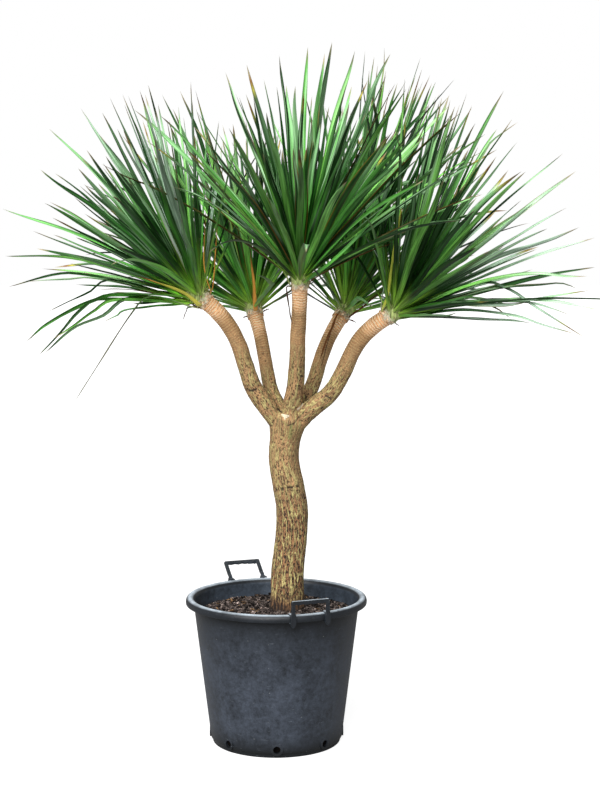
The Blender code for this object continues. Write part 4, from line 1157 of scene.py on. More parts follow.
def leaf_tree(rows, width, stations, extra=0.0):
    """Faces of the plain blade of the solids, three corners at each station, which growth is tested with."""
    points, faces = [], [(0, 1, 2)]
    for s in stations[:-1]:
        middle, across, up = rows[round(s * LINE_STEPS)]
        half = across * (width * leaf_share(s) / 2 + extra)
        keel = LEAF_THICK * (1 - 0.45 * s)
        points += [middle - half + up * extra, middle - up * (keel + extra), middle + half + up * extra]
    points.append(rows[-1][0])
    for left in range(0, 3 * (len(stations) - 2), 3):
        under, right = left + 1, left + 2
        faces += [
            (left, right, right + 3), (left, right + 3, left + 3),
            (left, under + 3, under), (left, left + 3, under + 3),
            (under, right + 3, right), (under, under + 3, right + 3),
        ]
    tip = len(points) - 1
    left, under, right = tip - 3, tip - 2, tip - 1
    return BVHTree.FromPolygons(points, faces + [(left, right, tip), (left, tip, under), (under, tip, right)])


def head_frame(head):
    """The end of a branch and the way it points there."""
    before, tip = (p.xyz for p in smooth_line(BRANCH_LINES[head], BRANCH_STEPS)[-2:])
    return tip, (tip - before).normalized()


def rows_along(path, side, per=40):
    """Rows at equal steps along a smooth path, with their sideways direction carried along it."""
    fine = smooth_line(path, per * (len(path) - 1))
    along = [0.0]
    for a, b in zip(fine, fine[1:]):
        along.append(along[-1] + (b - a).length)
    rows = []
    for step in range(LINE_STEPS + 1):
        reach = along[-1] * step / LINE_STEPS
        k = min(range(len(fine) - 1), key=lambda n: abs(along[n] - reach))
        tangent = (fine[k + 1] - fine[k]).normalized()
        side = square_to(side, tangent)
        rows.append((fine[k].copy(), side.copy(), side.cross(tangent).normalized()))
    rows[-1] = (fine[-1].copy(), *rows[-1][1:])
    marks = [0]
    for number in range(1, len(path) - 1):
        marks.append(max(marks[-1] + 1, round(along[per * number] / along[-1] * LINE_STEPS)))
    return rows, (*(mark / LINE_STEPS for mark in marks), 1.0)


def dry_line(head, points):
    """Rows along a dry leaf, out of the collar and through its points, and its stations there."""
    tip, axis = head_frame(head)
    seat = tip + axis * (GAP + COLLAR_HEIGHT * 0.5)
    radius = BRANCH_LINES[head][-1][3] + COLLAR_PROUD
    outward = square_to(Vector(points[0]) - seat, axis)
    path = [seat + outward * radius * 0.5, seat + outward * (radius + 0.004), *(Vector(p) for p in points)]
    return rows_along(path, axis.cross(outward))


def near_limb(rows, limbs, own):
    """True where a leaf comes too close to the trunk or a branch, other than at its own branch's end."""
    points = np.array([tuple(row[0]) for row in rows[2:]])
    tip = np.array(limbs[own][-1])[:3]
    for name, line in limbs.items():
        spots = np.array([tuple(p) for p in line])
        if name == own:
            spots = spots[np.linalg.norm(spots[:, :3] - tip, axis=1) >= NECK_REACH]
        gaps = np.linalg.norm(points[:, None, :] - spots[None, :, :3], axis=2)
        if (gaps < spots[None, :, 3] + LIMB_CLEARANCE).any():
            return True
    return False


def stub(name, profile, sides, head, lift):
    """A turned solid set on the end of a branch."""
    tip, axis = head_frame(head)
    mesh = turned(name, profile, sides)
    upright = axis.to_track_quat("Z", "Y").to_matrix().to_4x4()
    mesh.transform(Matrix.Translation(tip + axis * lift) @ upright)
    return mesh


def collar_mesh(head, sides=12):
    neck = BRANCH_LINES[head][-1][3]
    profile = [
        (0, 0), (neck, 0), (neck + COLLAR_PROUD, 0.005), (neck + COLLAR_PROUD * 0.8, COLLAR_HEIGHT),
        (0, COLLAR_HEIGHT),
    ]
    return stub("collar_" + head, profile, sides, head, GAP)


def crown_mesh(head, sides=8):
    """The short leafy stem tip that all of a head's green leaves grow from."""
    profile = [
        (0, 0), (CROWN_RADIUS * 0.9, 0), (CROWN_RADIUS, 0.016), (CROWN_RADIUS * 0.78, 0.042),
        (0, CROWN_HEIGHT),
    ]
    return stub("crown_" + head, profile, sides, head, COLLAR_HEIGHT + 2 * GAP)


def cut_rows(rows, share):
    """The rows of a leaf that ends at a share of its length."""
    made = []
    for step in range(LINE_STEPS + 1):
        at = step * share
        k = min(int(at), LINE_STEPS - 1)
        made.append(tuple(a.lerp(b, at - k) for a, b in zip(rows[k], rows[k + 1])))
    return made


def thinned(rows, draw):
    """The rows of a leaf, ended somewhere past the dense crown, so that the fringe thins out."""
    for step in range(6, LINE_STEPS):
        if not in_dense_crown(rows[step][0]):
            share = step / LINE_STEPS
            return cut_rows(rows, share + (1 - share) * draw.uniform(0.05, 0.90))
    return rows


def turned_rows(rows, roll, twist):
    """The rows with their blade rolled at the base and turned steadily more towards the tip."""
    made = []
    for number, (point, across, up) in enumerate(rows):
        turn = Matrix.Rotation(roll + twist * number / LINE_STEPS, 3, across.cross(up))
        made.append((point, turn @ across, turn @ up))
    return made


def facing_roll(rows):
    """How far a blade has to roll, up to a quarter turn, for its broad side to show in the photograph."""
    point, across, up = rows[LINE_STEPS // 2]
    view = Vector(CAMERA_PLACE) - point
    roll = math.atan2(-view.dot(across), view.dot(up))
    return (roll + math.pi / 2) % math.pi - math.pi / 2


def seated(head, outward, age):
    """Where a leaf of an age from 0, innermost, to 1 leaves the stem tip on that side."""
    tip, stem = head_frame(head)
    up_stem = 0.004 + (CROWN_HEIGHT - 0.024) * (1 - age)
    return tip + stem * (COLLAR_HEIGHT + 2 * GAP + up_stem) + outward * (0.006 + 0.012 * age)


def in_dense_crown(point):
    """True where the photograph shows a point inside the dense part of the crown."""
    x, y = pixel_of(point)
    inside = False
    for (x0, y0), (x1, y1) in zip(DENSE_CROWN, DENSE_CROWN[1:] + DENSE_CROWN[:1]):
        if (y0 > y) != (y1 > y) and x < x0 + (x1 - x0) * (y - y0) / (y1 - y0):
            inside = not inside
    return inside


def hides(rows, spots):
    """True where a leaf would stand in front of a leaf that the photograph shows whole."""
    if not spots:
        return False
    for point, _, _ in rows[5:]:
        x, y = pixel_of(point)
        for sx, sy, depth in spots:
            if abs(x - sx) < SPOT_PIXELS and abs(y - sy) < SPOT_PIXELS and point.y < depth:
                return True
    return False


class Grove:
    """The leaves of all heads as they grow, and what a new leaf has to keep clear of.

    A leaf is its rows, its width and the stations of its plain blade.
    """

    def __init__(self):
        self.limbs = {name: smooth_line(points, 30) for name, points in BRANCH_LINES.items()}
        self.limbs["bole"] = smooth_line(TRUNK_LINE, 30)
        self.cores = {head: [face_tree(collar_mesh(head)), face_tree(crown_mesh(head))] for head in HEADS}
        self.dry, self.trees = {}, {}
        self.green = {head: [] for head in HEADS}
        self.spots = []
        for head in HEADS:
            lines = [(kind, width, *dry_line(head, points)) for width, kind, points in DRY_LEAVES[head]]
            self.dry[head] = [(kind, (rows, width, stations)) for kind, width, rows, stations in lines]
            self.trees[head] = [leaf_tree(*leaf, CLEARANCE) for _, leaf in self.dry[head]]

    def rivals(self, head, *own):
        """Trees of the other heads' leaves, collars and crowns, and any of its own that are given."""
        others = [tree for other in HEADS if other != head for tree in self.trees[other] + self.cores[other]]
        return [*others, *own]

    def fitted(self, head, leaf, rivals, clearance=0.0):
        """The tree of a leaf that clears limbs, rivals and the dry leaves that show, or None."""
        if near_limb(leaf[0], self.limbs, head) or hides(leaf[0], self.spots):
            return None
        tree = leaf_tree(*leaf, clearance)
        return None if any(tree.overlap(rival) for rival in rivals) else tree

    def keep(self, head, rows, width, rivals):
        """Adds a green leaf where it fits, and says whether it does."""
        leaf = (rows, width, LEAF_STATIONS)
        tree = self.fitted(head, leaf, rivals)
        if tree:
            self.green[head].append(leaf)
            self.trees[head].append(tree)
        return bool(tree)

    def grow_more_dry(self, head, draw):
        """A few short dry leaves round the back of a collar, hanging outwards."""
        tip, axis = head_frame(head)
        level = square_to(Vector((0, 1, 0)), axis)
        leaves, trees = self.dry[head], self.trees[head]
        wanted = len(leaves) + MORE_DRY
        for _ in range(DRY_TRIES):
            if len(leaves) == wanted:
                break
            about = draw.uniform(-1.7, 1.7)
            outward, heading = leaning(axis, level, about, math.radians(draw.uniform(62, 80)))
            seat = tip + axis * (GAP + COLLAR_HEIGHT * 0.5) + outward * 0.012
            length, width = draw.uniform(0.14, 0.30), draw.uniform(0.006, 0.011)
            rows = leaf_line(seat, heading, axis.cross(outward), length, draw.uniform(0.1, 0.6), 0.0)
            leaf = (rows, width, DRY_STATIONS)
            tree = self.fitted(head, leaf, self.rivals(head, *trees, self.cores[head][1]), CLEARANCE)
            if tree:
                leaves.append(("brown", leaf))
                trees.append(tree)

    def grow_solid_leaves(self, head, draw):
        """A head's green leaves in the solids, from the upright middle ones to the spread outer ones."""
        tip, stem = head_frame(head)
        base = tip + stem * (COLLAR_HEIGHT + 2 * GAP)
        facing, longest, count = HEADS[head]
        axis = Vector(facing).normalized()
        level = axis.orthogonal().normalized()
        rivals = self.rivals(head, *self.trees[head], self.cores[head][0])
        outers = []
        for number in range(count):
            age = (number + 0.5) / count
            turn = number * GOLDEN_ANGLE + draw.uniform(-0.12, 0.12)
            lean = LEAF_SPREAD * age**0.62 + math.radians(draw.uniform(-3, 3))
            length = longest * (0.76 + 0.24 * min(1.0, age * 3.2) - 0.08 * age) * draw.uniform(0.90, 1.05)
            width = LEAF_WIDTH * draw.uniform(0.88, 1.06) * (0.84 + 0.16 * min(1.0, age * 4))
            droop = 0.05 + 0.10 * draw.random() + age**4 * draw.uniform(0.05, 0.95)
            twist = math.radians(draw.uniform(-32, 32))
            best = None
            for trial in range(LEAF_TRIES):
                loose = math.radians(0.7 * trial)
                about = turn + draw.uniform(-1.6, 1.6) * loose
                tilt = max(0.0, lean + draw.uniform(-1, 0.6) * loose)
                cut = 1.0 if trial < 12 else 1.0 - 0.028 * (trial - 11)
                outward, heading = leaning(axis, level, about, tilt)
                up_stem = 0.005 + (CROWN_HEIGHT - 0.024) * (1 - age)
                seat = base + stem * up_stem + outward * (0.004 + 0.010 * age)
                rows = leaf_line(seat, heading, axis.cross(outward), length * cut, droop, twist)
                leaf = (rows, width, LEAF_STATIONS)
                tree = self.fitted(head, leaf, rivals, CLEARANCE)
                if tree is None:
                    continue
                outer = leaf_tree(rows, width, OUTER_STATIONS)
                crossed = sum(bool(outer.overlap(other)) for other in outers)
                if best is None or crossed < best[0]:
                    best = (crossed, leaf, tree, outer)
                if crossed == 0 or (trial > 9 and crossed <= 1):
                    break
            if best:
                for grown_so_far, made in zip((self.green[head], self.trees[head], outers), best[1:]):
                    grown_so_far.append(made)

    def thin(self, head, draw):
        """Narrows and ends the solid's green leaves, cuts the dry ones behind, and notes those that show."""
        wide = sizes().leaf_width / LEAF_WIDTH * HEAD_WIDTH[head]
        self.green[head] = [(thinned(rows, draw), width * wide, at) for rows, width, at in self.green[head]]
        for number, (kind, (rows, width, stations)) in enumerate(self.dry[head]):
            if number >= len(DRY_LEAVES[head]):
                self.dry[head][number] = (kind, (cut_rows(rows, BACK_DRY_SHARE), width, stations))
            elif kind in SHOWN_DRY:
                self.spots += [(*pixel_of(point), point.y) for point, _, _ in rows[3:]]

    def grow_outline(self, head, draw):
        """Leaves that end where the photograph shows their tips, and those that it shows bent.

        Leaves of one head are about as long as each other, so how far a tip lies in front of the head or
        behind it follows from how short its leaf looks.
        """
        tip, stem = head_frame(head)
        facing, longest, _ = HEADS[head]
        axis = Vector(facing).normalized()
        rivals = self.rivals(head)
        for pixel in LEAF_TIPS[head]:
            side = -1 if draw.random() < 0.55 else 1
            length = longest * draw.uniform(0.93, 1.02)
            flat = (seen_at(pixel, tip.y) - tip).length
            width = sizes().leaf_width * HEAD_WIDTH[head] * draw.uniform(0.80, 1.02)
            roll, twist = math.radians(draw.uniform(-40, 40)), math.radians(draw.uniform(-35, 35))
            arch = draw.uniform(0.010, 0.045)
            for trial in range(TIP_TRIES):
                away = math.sqrt(max(0.0, length**2 - flat**2)) * side * (1 - 0.10 * (trial // 2))
                end = seen_at(pixel, tip.y + away)
                outward = square_to(end - tip, stem)
                age = min(1.0, ((end - tip).angle(axis) / LEAF_SPREAD) ** 1.6)
                seat = seated(head, outward, age)
                middle = (seat + end) / 2 + Vector((0, 0, 1)) * arch * length * (0.3 + abs(outward.xy.length))
                rows, _ = rows_along([seat, middle, end], stem.cross(outward))
                side = -side
                if self.keep(head, turned_rows(rows, roll, twist), width, rivals):
                    break
        for width, pixels in BENT_LEAVES.get(head, ()):
            for trial in range(BENT_TRIES):
                path = [seen_at(pixel, tip.y - 0.03 - 0.035 * trial) for pixel in pixels]
                outward = square_to(path[0] - tip, stem)
                rows, _ = rows_along([seated(head, outward, 1.0), *path], stem.cross(outward))
                roll = facing_roll(rows) + draw.uniform(0.6, 1.2)
                if self.keep(head, turned_rows(rows, roll, draw.uniform(-0.5, 0.5)), width, rivals):
                    break

    def grow_fill(self, head, draw):
        """Leaves between the others, which close a head's fan down to its neck, inside the dense crown."""
        facing, longest, _ = HEADS[head]
        axis = Vector(facing).normalized()
        level = axis.orthogonal().normalized()
        rivals = self.rivals(head)
        count = sizes().extra_leaves
        for number in range(count):
            age = (number + 0.5) / count
            turn = number * GOLDEN_ANGLE + 1.1
            width = sizes().leaf_width * HEAD_WIDTH[head] * draw.uniform(0.78, 1.05)
            droop = 0.03 + 0.10 * draw.random()
            twist = math.radians(draw.uniform(-45, 45))
            length = longest * (0.64 + 0.20 * min(1.0, age * 3)) * draw.uniform(0.75, 1.0)
            for trial in range(FILL_TRIES):
                about = turn + draw.uniform(-0.4, 0.4)
                tilt = math.radians(6 + 60 * age**0.7 + draw.uniform(-5, 5))
                outward, heading = leaning(axis, level, about, tilt)
                if heading.y < AT_CAMERA:
                    # It would hide the bases of the others.
                    continue
                seat = seated(head, outward, age)
                cut = length * (1 - 0.02 * trial)
                rows = leaf_line(seat, heading, axis.cross(outward), cut, droop, twist)
                inside = all(in_dense_crown(row[0]) for row in rows[6::3])
                if inside and self.keep(head, rows, width, rivals):
                    break


@functools.cache
def grown():
    """The grove with every leaf of the solids and more between them, from one seed a head and step."""
    grove = Grove()
    for step, first_seed in (
        (grove.grow_more_dry, MORE_DRY_SEED), (grove.grow_solid_leaves, SOLID_LEAF_SEED),
        (grove.thin, THIN_SEED), (grove.grow_outline, OUTLINE_SEED), (grove.grow_fill, FILL_SEED),
    ):
        for number, head in enumerate(HEADS):
            step(head, random.Random(first_seed + number))
    return grove


# The visible blade tapers to a long fine point: (share of length, share of greatest width).
BLADE_SHAPE = (
    (0.0, 0.60), (0.05, 0.64), (0.14, 0.84), (0.28, 1.0), (0.50, 0.98), (0.66, 0.90), (0.80, 0.70),
    (0.90, 0.46), (0.96, 0.24), (1.0, 0.0),
)
# A blade's section, as shares of its half width: its upper face from edge to edge, then its underside.
UPPER = np.array([-1.0, -0.86, -0.45, 0.0, 0.45, 0.86, 1.0])
LOWER = np.array([0.60, 0.0, -0.60])
SECTION = np.concatenate([UPPER, LOWER])
IS_LOWER = np.array([False] * len(UPPER) + [True] * len(LOWER))


def blade_share(s):
    """Width of a visible blade at s, as a share of its greatest width."""
    return float(np.interp(s, *zip(*BLADE_SHAPE)))


class Sheaf:
    """Blades gathered for one mesh, with the colour of each point and its place on its blade."""

    def __init__(self):
        self.points, self.faces, self.tints, self.blades = [], [], [], []
        self.count = 0

    def add(self, rows, width, stops, draw, channel=0.0026, margin=None, wave=0.0006, shape=blade_share,
            fold=None, painted_sheen=0.0, sway=0.0045):
        """Adds a channelled blade along rows; stops are (share of length, colour), and its painted sheen is
        given last.
        """
        count, size = len(rows) - 1, len(SECTION)
        s = np.arange(count) / count
        middle, across, up = (np.array([tuple(row[part]) for row in rows]) for part in range(3))
        phase, turns = draw.uniform(0, math.tau), draw.uniform(1.5, 3.5)
        along = np.linspace(0, 1, count + 1)
        aside = np.sin(turns * math.tau * along * 0.6 + phase) - math.sin(phase)
        middle = middle + across * (sway * aside * along)[:, None]
        if fold:
            # A leaf that has broken over: what lies beyond the fold is turned about it.
            start = round(fold[0] * count)
            for number, share in ((start, 0.7), (start + 1, 0.3)):
                crease = Vector(across[number]) * fold[2] + Vector(up[number]) * fold[3]
                turn = np.array(Matrix.Rotation(fold[1] * share, 3, crease))
                middle[number:] = middle[number] + (middle[number:] - middle[number]) @ turn.T
                across[number:], up[number:] = across[number:] @ turn.T, up[number:] @ turn.T
        half = np.array([shape(x) for x in s]) * width / 2
        depth = channel * (1 - 0.45 * s) * np.minimum(1.0, half / (width * 0.35))
        skin = sizes().leaf_skin * (1.15 - 0.5 * s) * np.minimum(1.0, half / (width * 0.30) + 0.25)
        lift = depth[:, None] * (np.abs(SECTION) ** 1.2 - 0.5)[None, :]
        lift += (wave * np.sin(turns * 9 * s + phase))[:, None] * np.sign(SECTION) * np.abs(SECTION) ** 2
        lift -= np.where(IS_LOWER[None, :], skin[:, None], 0.0)
        spread = half[:, None] * SECTION[None, :]
        ring = middle[:-1, None, :] + across[:-1, None, :] * spread[..., None]
        ring = ring - up[:-1, None, :] * lift[..., None]
        self.points += [ring.reshape(-1, 3), middle[-1:]]
        ends, k = self.count, np.arange(size)
        after = (k + 1) % size
        starts = ends + np.arange(count - 1)[:, None] * size
        quads = np.stack([starts + k, starts + size + k, starts + size + after, starts + after], axis=-1)
        self.faces += quads.reshape(-1, 4).tolist()
        last, tip = ends + (count - 1) * size, ends + count * size
        self.faces += [(last + int(a), tip, last + int(b)) for a, b in zip(k, after)]
        self.faces.append(tuple(range(ends, ends + size)))
        self.count = tip + 1
        where = np.array([stop for stop, _ in stops])
        body = np.stack([np.interp(s, where, [c[n] for _, c in stops]) for n in range(3)], axis=-1)
        tint = np.repeat(body[:, None, :], size, axis=1)
        # Painted shade: the underside is painted at 0.70 of the colour. The upper face is darker at its edges
        # than at its middle.
        tint *= np.where(IS_LOWER, 0.70, 1.22 - 0.60 * np.abs(SECTION) ** 1.5)[None, :, None]
        if margin is not None:
            colour, strength = margin
            edge = np.clip((np.abs(SECTION) - 0.8) / 0.2, 0, 1)[None, :, None] * strength
            edge = edge * np.clip((s - 0.04) / 0.1, 0, 1)[:, None, None]
            tint = tint * (1 - edge) + colour * edge
        # Painted sheen, kept in the colour's alpha, from a quarter of the way up to near the tip.
        sheen = painted_sheen * np.clip((s - 0.25) / 0.25, 0, 1) * np.clip((0.97 - s) / 0.1, 0, 1)
        tint = np.concatenate([tint, np.repeat(sheen[:, None], size, axis=1)[..., None]], axis=2)
        self.tints += [tint.reshape(-1, 4), np.array([[*stops[-1][1], 0.0]])]
        length = np.linalg.norm(np.diff(middle, axis=0), axis=1).sum()
        chance = draw.random()
        up_blade = np.repeat((s * length)[:, None], size, axis=1)
        blade = np.stack([spread, up_blade, np.full(spread.shape, chance)], axis=-1)
        self.blades += [blade.reshape(-1, 3), np.array([[0.0, length, chance]])]

    def mesh(self, name, core, colour):
        """One mesh of the blades and the core that they grow from, in its own colour."""
        start, extra = self.count, points_of(core)
        faces = self.faces + [tuple(v + start for v in p.vertices) for p in core.polygons]
        made = mesh_from(name, np.concatenate([*self.points, extra]), faces)
        core_tint = np.repeat(np.array([[*colour, 0.0]]), len(extra), axis=0)
        point_layers(
            made, tint=np.concatenate([*self.tints, core_tint]), blade=np.concatenate([*self.blades, extra])
        )
        made.shade_smooth()
        made.set_sharp_from_angle(angle=math.radians(60))
        return made


# How often each green shows in a head: dark, mid, bright and pale; and the most painted sheen of a leaf.
GREENS = {
    "centre": (0.36, 0.28, 0.28, 0.08, 1.00),
    "left": (0.38, 0.38, 0.20, 0.04, 0.80),
    "right": (0.50, 0.22, 0.28, 0.00, 0.50),
    "back_left": (0.32, 0.38, 0.30, 0.00, 0.40),
    "back_right": (0.34, 0.34, 0.32, 0.00, 0.35),
}
# How far up a leaf its yellow-green base reaches, as a share of its length.
FRESH_LENGTH = {"centre": 0.06, "left": 0.16, "right": 0.13, "back_left": 0.12, "back_right": 0.13}
# How light the lower half of the leaves of each head is.
HEAD_TONE = {"centre": 1.15, "left": 1.25, "right": 1.05, "back_left": 2.2, "back_right": 2.2}


def green_stops(head, draw, aim):
    """Colours along a green leaf, from its cream base to its dried tip, and its painted sheen.

    Aim is the way that the leaf points. The leaves of the right head that point outwards and those of the
    left head that stand up are painted pale, as painted sheen of the light on them. Those that point at the
    camera are plain.
    """
    # Outward is to the right, but to the left on the two heads that stand left.
    outward, upward, plain = aim.x * (-1 if "left" in head else 1), aim.z, aim.y < AT_CAMERA
    kinds, weights = ("leaf_dark", "leaf_mid", "leaf_bright", "leaf_pale"), list(GREENS[head][:4])
    if head == "left":
        weights[3] = 0.30 if upward > 0.82 else 0.04
    if head == "centre" and upward > 0.85 or head in ("left", "right") and outward > 0.6:
        weights[0] *= 2.5
    if head == "centre" and outward > 0.35:
        weights[0] *= 1.3
    if plain:
        weights[3] = 0
    kind = draw.choices(kinds, weights)[0]
    body = shade(kind) * draw.uniform(0.50, 1.40)
    lit = np.minimum(body * HEAD_TONE[head], 0.85)
    fresh, base, tip, pale = (shade("leaf_" + part) for part in ("fresh", "base", "tip", "pale"))
    end = draw.uniform(0.93, 0.985)
    # Painted sheen: these leaves are faded to the pale colour and given sheen, as the light's shine on them.
    painted_pale_sheen = head == "right" and outward > 0.55 or head == "left" and upward > 0.80 and outward > 0.1
    if painted_pale_sheen and draw.random() < 0.65:
        fade = draw.uniform(0.60, 1.0)
    else:
        fade = draw.uniform(0.0, 0.06 if kind == "leaf_dark" else 0.30)
    outer = body * (1 - fade) + pale * fade
    near = fresh * draw.uniform(0.85, 1.25) * min(1.25, HEAD_TONE[head])
    first = FRESH_LENGTH[head] * draw.uniform(0.7, 1.2)
    stops = [
        (0.0, base), (0.02, base * 0.35 + fresh * 0.65), (first * 0.6, near), (first, near * 0.6 + lit * 0.4),
        (first * 2, lit), (0.50, (body + lit) * 0.45 + outer * 0.1), (0.76, outer), (end - 0.03, outer),
    ]
    if draw.random() < 0.20:
        stops[-1] = (end - draw.uniform(0.08, 0.11), outer)
        stops += [(end - 0.05, shade("dry_yellow") * 0.5), (end - 0.02, shade("dry_brown"))]
    painted_sheen = GREENS[head][4] * draw.random() ** 2
    if painted_pale_sheen and head == "right":
        painted_sheen = draw.uniform(0.3, 0.9)
    if plain:
        painted_sheen *= 0.2
    return [*stops, (min(0.995, end + 0.01), tip), (1.0, tip)], painted_sheen


def dry_stops(kind, draw):
    """Colours along a dry or drying leaf."""
    base, fresh, mid, pale, tip = (shade("leaf_" + part) for part in ("base", "fresh", "mid", "pale", "tip"))
    brown, orange, yellow, grey = (shade("dry_" + part) for part in ("brown", "orange", "yellow", "grey"))
    ways = {
        # Painted light: the orange and yellow leaves are painted up to 1.6 times lighter than their own
        # colours, as they hang in the heads' shade.
        "orange": [(0.0, base), (0.12, orange * 1.6), (0.6, orange * 1.3), (0.85, brown), (1.0, brown * 0.7)],
        "yellow": [
            (0.0, base), (0.15, yellow * 1.3), (0.62, yellow * 1.2), (0.78, orange), (0.88, brown),
            (1.0, brown * 0.7),
        ],
        "lime": [
            (0.0, base), (0.12, yellow * 0.8 + fresh * 0.4), (0.85, yellow * 0.7 + fresh * 0.3), (1.0, brown),
        ],
        "brown": [(0.0, base * 0.8), (0.15, brown * 1.2), (0.6, brown), (1.0, brown * 0.7)],
        "grey": [(0.0, base), (0.2, mid * 1.3), (0.5, grey), (1.0, grey)],
        "dark": [(0.0, brown), (0.3, brown * 0.5), (1.0, brown * 0.35)],
        "green_brown": [(0.0, base), (0.2, fresh), (0.5, mid), (0.75, orange * 0.6), (1.0, brown)],
        "pale": [(0.0, base), (0.3, pale), (0.8, pale), (1.0, tip)],
    }
    return [(s, colour * draw.uniform(0.95, 1.05)) for s, colour in ways[kind]]


def tapered(s):
    """Width of a dried leaf that narrows all the way from its base, as a share."""
    return 1.15 * (1 - s) ** 0.9


def make_collars():
    """Rings of old clasping leaf bases, with the dry leaves that still hang on them."""
    straw = living_leaf("dried_leaf", 0.66, 0.30)
    cream, fresh, orange = shade("neck_cream"), shade("leaf_fresh"), shade("neck_orange")
    scales = 22
    for number, head in enumerate(HEADS):
        draw = random.Random(COLLAR_SEED + number)
        sheaf = Sheaf()
        for kind, (rows, width, _) in grown().dry[head]:
            if kind == "yellow":
                # The solid's leaf hooks down where the photograph shows it run out thin.
                rows = cut_rows(rows, YELLOW_SHARE)
            shape = tapered if kind in ("orange", "yellow") else blade_share
            sheaf.add(rows, width, dry_stops(kind, draw), draw, channel=0.0016, sway=0.0012, shape=shape)
        tip, stem = head_frame(head)
        neck = BRANCH_LINES[head][-1][3]
        level = stem.orthogonal().normalized()
        for scale in range(scales):
            tier = scale / scales
            tilt = math.radians(draw.uniform(0, 9) + 6 * tier)
            outward, heading = leaning(stem, level, scale * GOLDEN_ANGLE, tilt)
            seat = tip + stem * (-0.006 + 0.016 * tier) + outward * (neck - 0.0010)
            length = draw.uniform(0.014, 0.020)
            rows = leaf_line(seat, heading, stem.cross(outward), length, 0.0, draw.uniform(-0.3, 0.3))
            torn = draw.random() < 0.25
            stops = [
                (0.0, orange), (0.35, cream), (0.70, cream * 0.7 + fresh * 0.3),
                (1.0, shade("dry_orange") * 0.8 if torn else cream * 0.4 + fresh * 0.6),
            ]
            sheaf.add(rows, draw.uniform(0.018, 0.026), stops, draw, channel=0.0060, wave=0.0002,
                      shape=lambda s: 1.0 - 0.85 * s**2)
        name = "old_bases_" + head
        mesh = sheaf.mesh(name, collar_mesh(head, 48), cream * 0.6 + orange * 0.4)
        finished(place(name, mesh, straw), "dry_leaf", "collar_" + head)


def make_heads():
    """The green leaves of the solids as fine channelled blades, with more between them."""
    leaf = living_leaf("waxy_leaf", 0.38, 0.55)
    for number, head in enumerate(HEADS):
        draw = random.Random(HEAD_SEED + number)
        sheaf = Sheaf()
        for rows, width, _ in grown().green[head]:
            reach = rows[-1][0] - rows[0][0]
            rusty = 0.45 if head == "centre" and reach.x < -0.15 else 0.08
            margin = (shade("leaf_rust"), draw.uniform(0.2, 0.6)) if draw.random() < rusty else None
            fold = None
            if draw.random() < 0.06:
                # Where it breaks, by how much, and how the crease lies across and through the blade.
                fold = (draw.uniform(0.66, 0.9), math.radians(draw.uniform(8, 26)),
                        draw.uniform(-1, 1), draw.uniform(-1, 1))
            stops, painted_sheen = green_stops(head, draw, reach.normalized())
            channel = draw.uniform(0.0028, 0.0050)
            sheaf.add(rows, width, stops, draw, channel=channel, margin=margin, fold=fold, painted_sheen=painted_sheen)
        name = "leaves_" + head
        mesh = sheaf.mesh(name, crown_mesh(head, 32), shade("leaf_fresh") * 0.3 + shade("leaf_base") * 0.4)
        finished(place(name, mesh, leaf), "green_leaf", "head_" + head)


def make_stage():
    """A pale floor, white surround, one large soft light and the camera."""
    scene = bpy.context.scene
    studio = scene.dragon_tree_studio
    scene.view_settings.view_transform = "Standard"
    scene.world = bpy.data.worlds.new("studio")
    scene.world.use_nodes = True
    tree = scene.world.node_tree
    # The backdrop is white, while the light that comes from all round is softer than it.
    seen = add_node(tree, "LightPath").outputs["Is Camera Ray"]
    strength = add_node(tree, "MapRange", (seen, 0.0, 1.0, studio.sky, 1.0))
    surround = tree.nodes["Background"]
    surround.inputs["Color"].default_value = (1.0, 1.0, 1.0, 1.0)
    tree.links.new(strength.outputs[0], surround.inputs["Strength"])
    floor = mesh_from("floor", [(-40, -40, 0), (40, -40, 0), (40, 40, 0), (-40, 40, 0)], [(0, 1, 2, 3)])
    made, add = new_material("studio_floor")
    # It shows white without throwing much light up, so that the shade among the leaves stays deep.
    matt = add("BsdfDiffuse", {"Color": rgba("floor_grey")})
    lift = add("Math", (add("LightPath").outputs["Is Camera Ray"], studio.floor_lift), operation="MULTIPLY")
    both = add("AddShader", (matt, add("Emission", {"Strength": lift})))
    add("OutputMaterial", {"Surface": both})
    place("floor", floor, made)
    key = bpy.data.lights.new("key", "SUN")
    key.angle = studio.softness
    key.energy = studio.key
    lamp = place("key", key)
    lamp.location = (-1.3, -3.3, 4.0)
    lamp.rotation_euler = (Vector((0.0, 0.0, 1.0)) - lamp.location).to_track_quat("-Z", "Y").to_euler()
    lens = bpy.data.cameras.new("camera")
    lens.sensor_width = SENSOR_MM
    lens.lens = FOCAL_PIXELS * SENSOR_MM / PHOTO_HEIGHT
    camera = place("camera", lens)
    camera.location = CAMERA_PLACE
    camera.rotation_euler = (math.pi / 2 - CAMERA_DIP, 0, 0)
    scene.camera = camera


class DRAGONTREE_OT_stage(bpy.types.Operator):
    """Sets up the floor, the light and the camera"""

    bl_idname = "dragon_tree.stage"
    bl_label = "Studio"

    def execute(self, context):
        make_stage()
        return {"FINISHED"}


class DRAGONTREE_OT_tub(bpy.types.Operator):
    """Makes the nursery tub with its rolled lip and drain holes"""

    bl_idname = "dragon_tree.tub"
    bl_label = "Nursery tub"

    def execute(self, context):
        make_tub()
        return {"FINISHED"}


class DRAGONTREE_OT_handles(bpy.types.Operator):
    """Makes the two clip-on carrying handles"""

    bl_idname = "dragon_tree.handles"
    bl_label = "Carrying handles"

    def execute(self, context):
        make_handles()
        return {"FINISHED"}


class DRAGONTREE_OT_soil(bpy.types.Operator):
    """Makes the potting compost and the crumbs and chips on it"""

    bl_idname = "dragon_tree.soil"
    bl_label = "Potting compost"

    def execute(self, context):
        make_soil()
        return {"FINISHED"}


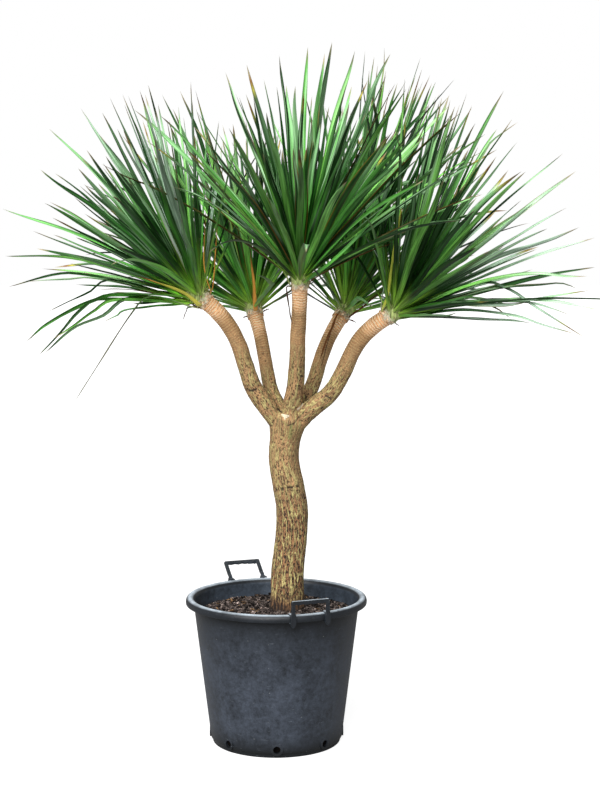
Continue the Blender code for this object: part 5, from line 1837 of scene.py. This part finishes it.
class DRAGONTREE_OT_trunk(bpy.types.Operator):
    """Makes the bark of the trunk and its five branches"""

    bl_idname = "dragon_tree.trunk"
    bl_label = "Trunk and branches"

    def execute(self, context):
        make_trunk()
        return {"FINISHED"}


class DRAGONTREE_OT_collars(bpy.types.Operator):
    """Makes the rings of old leaf bases and their dry leaves"""

    bl_idname = "dragon_tree.collars"
    bl_label = "Old leaf bases"

    def execute(self, context):
        make_collars()
        return {"FINISHED"}


class DRAGONTREE_OT_heads(bpy.types.Operator):
    """Makes the five heads of green leaves"""

    bl_idname = "dragon_tree.heads"
    bl_label = "Heads of leaves"

    def execute(self, context):
        make_heads()
        return {"FINISHED"}


OPERATORS = (
    DRAGONTREE_OT_stage, DRAGONTREE_OT_tub, DRAGONTREE_OT_handles, DRAGONTREE_OT_soil,
    DRAGONTREE_OT_trunk, DRAGONTREE_OT_collars, DRAGONTREE_OT_heads,
)
SETTINGS = {
    "dragon_tree_sizes": DragonTreeSizes,
    "dragon_tree_colours": DragonTreeColours,
    "dragon_tree_studio": DragonTreeStudio,
}


class DRAGONTREE_PT_panel(bpy.types.Panel):
    """Lists the pieces of the dragon tree and their settings"""

    bl_idname = "DRAGONTREE_PT_panel"
    bl_label = "Potted dragon tree"
    bl_space_type = "VIEW_3D"
    bl_region_type = "UI"
    bl_category = "Dragon tree"

    def draw(self, context):
        for operator in OPERATORS:
            self.layout.operator(operator.bl_idname)
        for group in SETTINGS:
            settings = getattr(context.scene, group)
            for name in settings.__annotations__:
                self.layout.prop(settings, name)


def register():
    for group in (*SETTINGS.values(), *OPERATORS, DRAGONTREE_PT_panel):
        bpy.utils.register_class(group)
    for name, group in SETTINGS.items():
        setattr(bpy.types.Scene, name, PointerProperty(type=group))


def unregister():
    for name in SETTINGS:
        delattr(bpy.types.Scene, name)
    for group in (DRAGONTREE_PT_panel, *reversed(OPERATORS), *SETTINGS.values()):
        bpy.utils.unregister_class(group)


def main():
    register()
    bpy.ops.dragon_tree.stage()
    bpy.ops.dragon_tree.tub()
    bpy.ops.dragon_tree.handles()
    bpy.ops.dragon_tree.soil()
    bpy.ops.dragon_tree.trunk()
    bpy.ops.dragon_tree.collars()
    bpy.ops.dragon_tree.heads()


if __name__ == "__main__":
    main()
